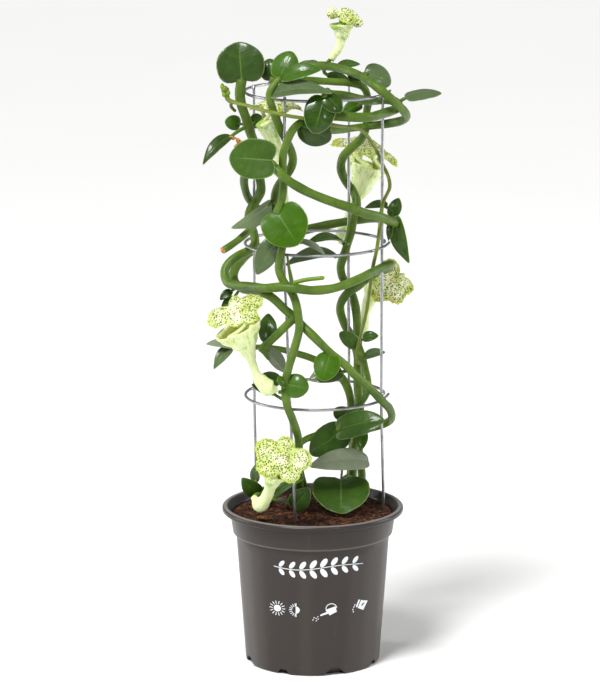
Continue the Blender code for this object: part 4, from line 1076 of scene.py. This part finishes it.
            ((33, 28, 212), (43, 26, 214), (0.0, -0.8, 0.6), 8, "oval", "mid"),
            ((35, 24, 200), (47, 20, 204), (0.0, -0.6, 0.8), 9, "oval", "grey"),
            ((19, -4, 156), (46, -10, 165), (0.0, -0.75, 0.65), 19, "heart", "mid"),
            ((37, 2, 134.5), (1, -14, 135.5), (0.0, -0.75, 0.65), 17, "oval", "silver"),
            ((18.8, 6, 121), (18.5, -20, 104.5), (0.0, -0.53, 0.85), 38, "heart", "mid"),
        ],
    },
    "vine_loop": {
        "stem": [
            (32, 30, 103), (33, 37, 117), (31.5, 42, 129), (31, 46, 145), (32, 50, 159),
            (33, 51, 170), (32, 50.5, 182), (30, 47, 197), (26.5, 43.5, 209), (22, 43, 217),
            (18.8, 40.5, 226), (18.5, 36, 233), (21, 32.8, 239), (25, 32, 243.5), (30, 34.5, 246),
            (35, 37, 250), (42, 30, 256), (48, 14, 261.5), (51, -2, 267.5), (48, -16, 269.5),
            (39, -31.5, 268.5), (30, -42, 266), (20, -48, 263), (11, -51, 261), (-1, -53.5, 260.5),
            (-11, -57, 262.5), (-20, -55, 263), (-31, -48.5, 261), (-41, -37, 260), (-50, -27, 258.5),
            (-56, -19, 259.5), (-57.5, -14, 265), (-55, -11, 270), (-49, -8, 274.5), (-42.5, -3, 276.8),
            (-38, 2, 280.5), (-39, 6, 288), (-42, 7, 295), (-41, 9, 302), (-37, 12, 308), (-34, 10, 315),
            (-35, 6, 325), (-38, 0, 336), (-38, -5, 347), (-41, -9, 357), (-43, -12, 365),
            (-46, -14.5, 374), (-47.2, -14.5, 382), (-46, -13, 391),
        ],
        "girth": ((0.0, 2.8), (0.8, 2.9), (0.92, 3.3), (1.0, 3.2)),
        "knobs": [
            ((-48.5, -18, 352), 1.9, 0.7, (1, -0.4, 0.4), "dry"),
            ((-51.5, -18, 353.6), 1.3, 1.2, (1, 0, 0.3), "dry"),
            ((-46, -18.4, 350.6), 1.5, 0.8, (0.4, -1, 0), "dry"),
        ],
        "tendrils": [
            ([(-45, -18, 350.4), (-48, -18, 352.2), (-52, -18, 354.6), (-54, -18.4, 354)], 0.9, 0.5, "dry"),
            ([(-47, -18, 351.4), (-49.6, -18.6, 349.4), (-51, -19, 348)], 0.7, 0.4, "dry"),
        ],
        "leaves": [
            ((-46, -14, 391), (-48, -7, 414), (0.0, -1.0, 0.2), 31, "heart", "deep"),
            ((-47, -4, 361), (-57, -9, 363), (-0.2, -0.95, 0.2), 10, "round", "fresh"),
            ((-40, 2, 361), (-32, 8, 362), (0.2, -0.95, 0.2), 10, "round", "fresh"),
            ((-53, -16, 355), (-69, -28, 341), (-0.5, -0.8, 0.3), 10, "long", "deep"),
        ],
    },
    "young_shoot": {
        "slot": "young_green",
        "stem": [
            (-29, 22, 103), (-30, 14, 107), (-34, 8, 111), (-37, -4, 113), (-38.2, -16, 115),
            (-38.5, -26, 116.5),
        ],
        "girth": ((0.0, 1.8), (1.0, 1.4)),
        "leaves": [
            ((-36, 2, 113), (-46, -6, 124), (-0.4, -0.8, 0.4), 12, "oval", "mid"),
            ((-38, 10, 118), (-38, 11, 129), (-0.3, -0.9, 0.2), 7, "oval", "grey"),
            ((-26, 0, 110), (-9, -13, 125), (-0.3, -0.7, 0.6), 8, "long", "mid"),
            ((-25, 4, 107), (-13, -4, 105.5), (0.2, -0.5, 0.8), 5, "long", "silver"),
        ],
    },
    "flowering_stem": {
        "rooted": False, "slot": "pale_stem",
        "stem": [
            (30, 27.8, 194.5), (29.7, 24, 198), (29.5, 18, 206), (31.5, 8, 218), (35, -4, 236),
            (37, -14, 253), (38.5, -21, 268), (41, -30, 282), (42, -30.5, 289), (43, -24, 296),
            (44, -17, 304), (46, -8, 311), (50, 1, 318), (49, 7, 325), (45.5, 8.5, 332), (42, 4, 341),
            (38, -6, 349), (33, -16, 357), (27, -27, 361.5), (19, -37, 364), (12, -46, 366.5),
            (2, -48.5, 369.5), (-7, -50, 371.5), (-15, -52, 373), (-24, -51.5, 375), (-34, -44, 376),
            (-42, -33, 377), (-50, -23, 377.5), (-55, -18, 379), (-56, -18, 386),
        ],
        "girth": ((0.0, 1.0), (0.3, 1.2), (0.95, 1.2), (1.0, 1.9)),
        "twigs": [
            ([(-55, -18, 379), (-58, -17, 384), (-58.5, -16.5, 388)], (1.1, 1.0)),
            ([(-52, -20, 378), (-53, -16, 374), (-50.5, -15, 371)], (1.1, 1.0)),
        ],
        "knobs": [
            ((-56.4, -18.5, 385.5), 1.9, 1.2, (-0.3, 0, 1), "stem"),
            ((-58.2, -17.2, 386.6), 1.6, 1.2, (-0.6, 0, 1), "young"),
            ((-54.8, -18.5, 383), 1.5, 1.2, (0.4, 0, 1), "young"),
            ((-57.2, -18.8, 382), 1.6, 1.1, (-0.5, 0, 1), "young"),
        ],
    },
}


# flowers

flowerLook = {
    "sides": 40, "thin": 0.55, "ribs": 0.055, "common": 19,  # struts and hairs are for this size of roof
    "roofSides": 110, "roofRows": 22, "roofThick": 0.55, "core": 0.42,  # the core has no lobes
    "hairs": 45, "hairLength": 1.5, "hairThick": (0.16, 0.05),
    "strut": (2.7, 1.4, 1.7),  # its radius at the foot, in the middle and at the head
    "strutFoot": (0.88, 1.8),  # how far out on the mouth, and how deep in the funnel
    "strutBend": (0.55, 0.32, 2.2),  # how far out under the roof, and how far below it
    "strutReach": 0.62,  # the most that its head goes out, as a share of the roof's reach there
    "strutTone": (0.25, 0.9, 0.3, 1), "rollTone": (1, 0.72, 0.4, 1), "hairTone": (1, 1.0, 0, 1),
    "cream": (0.86, 0.90, 0.55), "pale": (0.72, 0.82, 0.30), "green": (0.25, 0.48, 0.045),
    "roof": (0.62, 0.68, 0.20), "roofPale": (0.86, 0.88, 0.55), "lime": (0.42, 0.55, 0.040),
    "spot": (0.050, 0.085, 0.012), "blush": (0.55, 0.33, 0.20),
}


def petalSkin(look):
    # petalTone holds 1 on the roof and 0 on the tube, how far out or along, and the way round
    skin = Finish("petalSkin", IOR=1.42, Subsurface_Weight=0.18, Subsurface_Scale=0.004)
    roof, reach, turn = skin.parts(skin.attribute("petalTone").outputs["Vector"])
    soft = skin.noise(260, 4, 0.6)
    patch = skin.noise(95, 3, 0.6)
    dots = skin.cells(840)
    path = skin.node("CombineXYZ", {}, {0: turn * 6.0, 1: reach * 2.2, 2: 0.0})
    streak = skin.noise(3.2, 4, 0.6, path.outputs[0])
    veins = skin.cells(430, "DISTANCE_TO_EDGE")
    tube = skin.layered(
        look["cream"], (streak.above(0.38, 0.66), look["pale"]),
        (streak.above(0.60, 0.70) * reach.above(0.35, 0.85) * 0.75, look["green"]),
        (patch.above(0.56, 0.64) * reach.above(0.60, 0.85) * 0.8, look["green"]),
        (dots.above(0.46, 0.30) * patch.above(0.44, 0.56) * reach.above(0.80, 0.98) * 0.8, look["green"]),
        (reach.above(0.25, 0.02) * 0.30, look["pale"]))
    net = veins.above(0.10, 0.03) * patch.above(0.42, 0.60) * 0.55
    spots = dots.above(0.50, 0.34) * patch.above(0.26, 0.44) * reach.above(1.0, 0.90) * 0.92
    top = skin.layered(
        look["roofPale"], (patch.above(0.40, 0.62), look["roof"]),
        (reach.above(0.70, 1.0) * 0.85, look["lime"]),
        (reach.above(0.30, 0.05) * 0.6, look["roofPale"]), (net.held(), look["green"]),
        (spots.held(), look["spot"]), (reach.above(0.16, 0.02) * 0.5, look["blush"]))
    skin.paint(Base_Color=skin.mix(roof, tube, top), Roughness=0.42 + (soft - 0.5) * 0.3)
    skin.bump(soft * 0.5 + streak * (1.0 - roof) * 0.8 - spots * 0.6, 0.0006, 0.5)
    return skin.material


def frames(points):
    # each point with two ways across, which don't spin between points
    made = []
    side = None
    for i, point in enumerate(points):
        ahead = (points[min(i + 1, len(points) - 1)] - points[max(i - 1, 0)]).normalized()
        if side is None:
            side = turnedTo(ahead) @ Vector((1, 0, 0))
        side = (side - ahead * side.dot(ahead)).normalized()
        made.append((point, side, ahead.cross(side)))
    return made


def ringEdges(ring):
    # the edges that run round a ring of vertices
    within = set(ring)
    return {edge for vert in ring for edge in vert.link_edges if edge.other_vert(vert) in within}


def addFlowerTube(work, flower, look):
    # bulb, neck and ribbed funnel, open at the mouth with a thin wall
    points = along(flower["tube"], 1.1)
    spin = math.radians(flower["spin"])
    mouthSide = turnedTo(points[-1] - points[-2]) @ Vector((0, 1, 0))
    tube = bmesh.new()
    tone = tube.verts.layers.float_color.new("petalTone")
    rings = []
    for (point, side, other), part in zip(frames(points), shares(points)):
        radius = girthAt(flower["girth"], part)
        offset = math.atan2(mouthSide.dot(other), mouthSide.dot(side))
        ring = bmesh.ops.create_circle(tube, segments=look["sides"], radius=1)["verts"]
        for vert in ring:
            turn = math.atan2(vert.co.y, vert.co.x)
            lobe = math.cos(5 * (turn - offset - spin) + math.pi)
            flare = look["ribs"] * max(0, part - 0.3) / 0.7 * lobe
            crease = 0.02 * math.cos(10 * turn + 1.3) * part
            outward = side * math.cos(turn) + other * math.sin(turn)
            vert[tone] = (0, part, (turn - offset) / math.pi, 1)
            vert.co = (point + outward * radius * (1 + flare + crease)) * mm
        rings.append(ring)
    for low, high in zip(rings, rings[1:]):
        bmesh.ops.bridge_loops(tube, edges=list(ringEdges(low) | ringEdges(high)))
    bmesh.ops.contextual_create(tube, geom=rings[0])
    bmesh.ops.recalc_face_normals(tube, faces=tube.faces)
    bmesh.ops.solidify(tube, geom=tube.faces[:], thickness=look["thin"] * mm)
    addShape(work, tube)
    return points


def roofReach(flower, angle):
    # how far the roof reaches at an angle: rounded lobes that run into each other
    total = (flowerLook["core"] * flower["radius"]) ** 6
    for middle, length, half in flower["lobes"]:
        away = abs((math.degrees(angle) - middle + 180) % 360 - 180)
        if away < half:
            total += (length * math.cos(math.pi / 2 * away / half) ** 0.6) ** 6
    return total ** (1 / 6)


def roofPoint(flower, angle, reach, lift):
    # a place on the roof: lobes over a shallow dome, with a crinkled rim
    out = reach * roofReach(flower, angle) * (1 + 0.02 * reach ** 4 * math.sin(26 * angle))
    drop = flower["dome"] * (out / flower["radius"]) ** 2
    ripple = 0.03 * flower["radius"] * reach ** 3 * math.sin(11 * angle + flower["radius"])
    return Vector((out * math.sin(angle), out * math.cos(angle), lift - drop + ripple))


def addRoof(work, flower, look):
    roof = bmesh.new()
    bmesh.ops.create_uvsphere(roof, u_segments=look["roofSides"], v_segments=look["roofRows"], radius=1)
    tone = roof.verts.layers.float_color.new("petalTone")
    turn = turnedTo(flower["facing"])
    thick = flower.get("thick", look["roofThick"])
    for vert in roof.verts:
        p = vert.co.copy()
        reach = min(1.0, math.hypot(p.x, p.y))
        angle = math.atan2(p.x, p.y)
        flat = roofPoint(flower, angle, reach, p.z * thick)
        flat.z += 0.5 * noise.noise(Vector((flat.x, flat.y, flower["radius"])) * 0.35)
        upper = p.z > -0.02  # below, the roof has the tube's colours
        vert[tone] = (1, reach, math.cos(angle), 1) if upper else (0, 0.55, math.cos(angle), 1)
        vert.co = (Vector(flower["canopy"]) + turn @ flat) * mm
    addShape(work, roof)


def addToned(work, shape, tone):
    layers = shape.verts.layers.float_color
    layer = layers.get("petalTone") or layers.new("petalTone")
    for vert in shape.verts:
        vert[layer] = tone
    addShape(work, shape)


def addStruts(work, flower, points, look):
    # from the funnel's mouth between two lobes, out and up to the roof
    mouth, axis = points[-1], (points[-1] - points[-2]).normalized()
    canopy, up = Vector(flower["canopy"]), Vector(flower["facing"]).normalized()
    lowTurn, highTurn = turnedTo(axis), turnedTo(up)
    radius, dome = flower["radius"], flower["dome"]
    size = radius / look["common"]
    broad, slim, head = (size * thick for thick in look["strut"])
    spread, sunk = look["strutFoot"]
    out, hung, gap = look["strutBend"]
    for i in range(5):
        angle = math.radians(36 + 72 * i + flower["spin"])
        spoke = Vector((math.sin(angle), math.cos(angle), 0))
        foot = mouth + lowTurn @ spoke * spread * flower["girth"][-1][1] - axis * sunk
        bend = canopy + highTurn @ spoke * out * radius - up * (hung * dome + gap)
        inner = min(look["core"] * radius, look["strutReach"] * roofReach(flower, angle))
        tip = canopy + highTurn @ spoke * inner - up * (dome * (inner / radius) ** 2 + 0.1)
        strut = bmesh.new()
        addTube(strut, along((foot, bend, tip), 0.8), ((0, broad), (0.45, slim), (1, head)), sides=3)
        addToned(work, strut, look["strutTone"])


def addRoll(work, place, size, look):
    # a lobe of the roof rolled up into a crinkled ball
    ball = bmesh.new()
    bmesh.ops.create_uvsphere(ball, u_segments=40, v_segments=24, radius=size)
    for vert in ball.verts:
        vert.co *= 1 + 0.10 * noise.noise(vert.co * 0.9 + Vector(place))
        vert.co = (vert.co + Vector(place)) * mm
    addToned(work, ball, look["rollTone"])


def addHairs(work, name, flower, look):
    # fine hairs round the roof's rim
    canopy, turn = Vector(flower["canopy"]), turnedTo(flower["facing"])
    size = flower["radius"] / look["common"]
    low, high = (thick * mm for thick in look["hairThick"])
    draw = random.Random(name)
    for i in range(look["hairs"]):
        angle = math.tau * (i + draw.uniform(-0.3, 0.3)) / look["hairs"]
        inside = canopy + turn @ roofPoint(flower, angle, 0.99, 0)
        rim = canopy + turn @ roofPoint(flower, angle, 1.0, 0)
        heading = turn @ Vector((math.sin(angle), math.cos(angle), draw.uniform(-0.9, 0.3))).normalized()
        length = look["hairLength"] * size * draw.uniform(0.5, 1)
        hair = bmesh.new()
        bmesh.ops.create_cone(hair, cap_ends=True, segments=4, radius1=low, radius2=high, depth=length * mm)
        middle = Matrix.Translation((inside.lerp(rim, 0.5) + heading * length * 0.45) * mm)
        bmesh.ops.transform(hair, matrix=middle @ turnedTo(heading).to_4x4(), verts=hair.verts)
        addToned(work, hair, look["hairTone"])


def makeFlower(name, flower, look, skin):
    work = bmesh.new()
    work.verts.layers.float_color.new("petalTone")
    points = addFlowerTube(work, flower, look)
    addRoof(work, flower, look)
    addStruts(work, flower, points, look)
    for place, size in flower.get("rolls", ()):
        addRoll(work, place, size, look)
    addHairs(work, name, flower, look)
    finished(pieceName(name), work, [skin], [name])


# each flower: points up its tube with the radius along it, then its roof's middle, size, the way it
# looks, how deep its dome is and how far the five struts are turned; each lobe is the angle of its
# middle, its length and half its width in degrees, and rolls are balls where a lobe is rolled up
flowers = {
    "flower_top": {
        "tube": [(11.8, 26, 399), (14.4, 27, 402.5), (17, 28, 406), (18.5, 29, 411), (19.3, 29, 416.5),
                 (19.2, 29, 422)],
        "girth": ((0.0, 1.8), (0.35, 2.1), (0.55, 2.5), (0.75, 4.6), (1.0, 7.6)),
        "canopy": (23, 29, 429.8), "radius": 13.0, "facing": (0.3, -0.25, 1.0), "dome": 7.0, "spin": 10.0,
        "lobes": ((-44, 11.5, 58), (25, 10, 45), (85, 10, 45), (140, 11.5, 56), (230, 10.5, 62)),
        "thick": 1.5,
        "rolls": (((12.8, 27, 429.1), 3.9), ((29.4, 28, 422.8), 3.3)),
    },
    "flower_back_left": {
        "tube": [(-22, -21, 309), (-20, -18, 313), (-19, -17, 322), (-21, -16, 334), (-24, -15, 346),
                 (-27, -15, 355), (-30, -15, 364)],
        "girth": ((0.0, 2.0), (0.07, 4.4), (0.22, 2.6), (0.5, 2.4), (0.78, 4.6), (1.0, 7.0)),
        "canopy": (-24, -14, 377), "radius": 17.0, "facing": (0.0, -0.1, 1.0), "dome": 5.0, "spin": 10.0,
        "lobes": ((-90, 17, 48), (-30, 15, 42), (40, 16, 48), (100, 17, 48), (180, 14, 62)),
    },
    "flower_back_right": {
        "tube": [(19, 54.5, 271), (20, 57, 276), (23, 58, 285), (27, 59, 296), (31, 60, 306),
                 (34.5, 60, 316), (37, 60, 324)],
        "girth": ((0.0, 2.0), (0.1, 5.0), (0.3, 3.0), (0.5, 3.2), (0.75, 7.5), (1.0, 12.8)),
        "canopy": (36.4, 60, 337), "radius": 21.0, "facing": (0.34, -0.35, 1.0), "dome": 5.5, "spin": 12.0,
        "lobes": ((-48, 23, 42), (19, 15, 42), (82, 15, 42), (136, 23.5, 42), (224, 13, 70)),
    },
    "flower_right": {
        "tube": [(31, 52.5, 208), (33, 54, 214), (35, 56, 221), (37, 57.5, 229), (40, 58, 236),
                 (43, 56.5, 241.5), (46, 54, 245)],
        "girth": ((0.0, 2.0), (0.15, 4.8), (0.35, 3.0), (0.6, 4.4), (0.8, 7.6), (1.0, 10.5)),
        "canopy": (53, 49, 247), "radius": 18.5, "facing": (0.2, -0.85, 0.5), "dome": 5.0, "spin": 26.0,
        "lobes": ((6, 17, 48), (111, 16, 48), (166, 16, 48), (230, 17.5, 55), (-54, 15, 58)),
    },
    "flower_left": {
        "tube": [(-23.2, -52, 195), (-28, -53, 196), (-32, -54, 199.5), (-36, -55, 205), (-38.5, -55, 211.5),
                 (-40.8, -56, 218), (-44, -57, 227), (-48.5, -58, 237)],
        "girth": ((0.0, 2.0), (0.12, 5.6), (0.25, 4.6), (0.37, 2.6), (0.55, 2.8), (0.68, 5.0),
                  (0.8, 9.0), (0.92, 13.5), (1.0, 15.5)),
        "canopy": (-50, -62, 247.5), "radius": 18.0, "facing": (-0.25, -0.68, 0.72), "dome": 3.0,
        "spin": 22.0,
        "lobes": ((-105, 19.5, 56), (-18, 15, 36), (38, 20.5, 46), (95, 15.5, 50), (165, 10, 75)),
    },
    "flower_low": {
        "tube": [(-38.6, -28, 117), (-35, -35, 114), (-31.5, -40, 118.5), (-28.8, -44, 125),
                 (-27, -48, 132), (-23.5, -55, 143)],
        "girth": ((0.0, 2.2), (0.22, 5.0), (0.4, 3.8), (0.58, 3.6), (0.78, 5.4), (1.0, 9.5)),
        "canopy": (-19.5, -60, 151.5), "radius": 19.5, "facing": (0.1, -0.85, 0.5), "dome": 5.0, "spin": 30.0,
        "lobes": ((-52, 20, 48), (14, 16, 48), (90, 19.5, 52), (155, 17, 56), (-112, 18, 66)),
    },
}


# floor and the whole plant

def makeFloor(setup):
    work = bmesh.new()
    bmesh.ops.create_grid(work, x_segments=1, y_segments=1, size=setup["floorSize"])
    paper = Finish("studioPaper", Roughness=0.9)
    paper.paint(Base_Color=paper.mix(paper.noise(3, 2, 0.5), setup["floor"], setup["floorShade"]))
    newObject("studioFloor", asMesh("studioFloor", work), [paper.material])


makeCamera(photoCamera)
makeStudio(studio)
makeFloor(studio)
makePot(potLook, potPlastic(potLook))
makePrint(printLook, potLook, printInk(printLook))
makeSoil(soilLook, [peat(soilLook), peatFibre(soilLook)])
makeChip(soilLook, barkFlake(soilLook))
makeCage(cageLook, galvanised(cageLook))
leaf = leafSkin(leafLook)
dry = dryTip(leafLook)
stem, youngStem, paleStem = (stemSkin(name, *tones) for name, tones in stemLook.items())
ownStems = {"young_shoot": youngStem, "flowering_stem": paleStem}
for name, vine in vines.items():
    makeVine(name, vine, leafLook, [ownStems.get(name, stem), leaf, dry, youngStem])
    print(name, "made")
petal = petalSkin(flowerLook)
for name, flower in flowers.items():
    makeFlower(name, flower, flowerLook, petal)
print("flowers made")
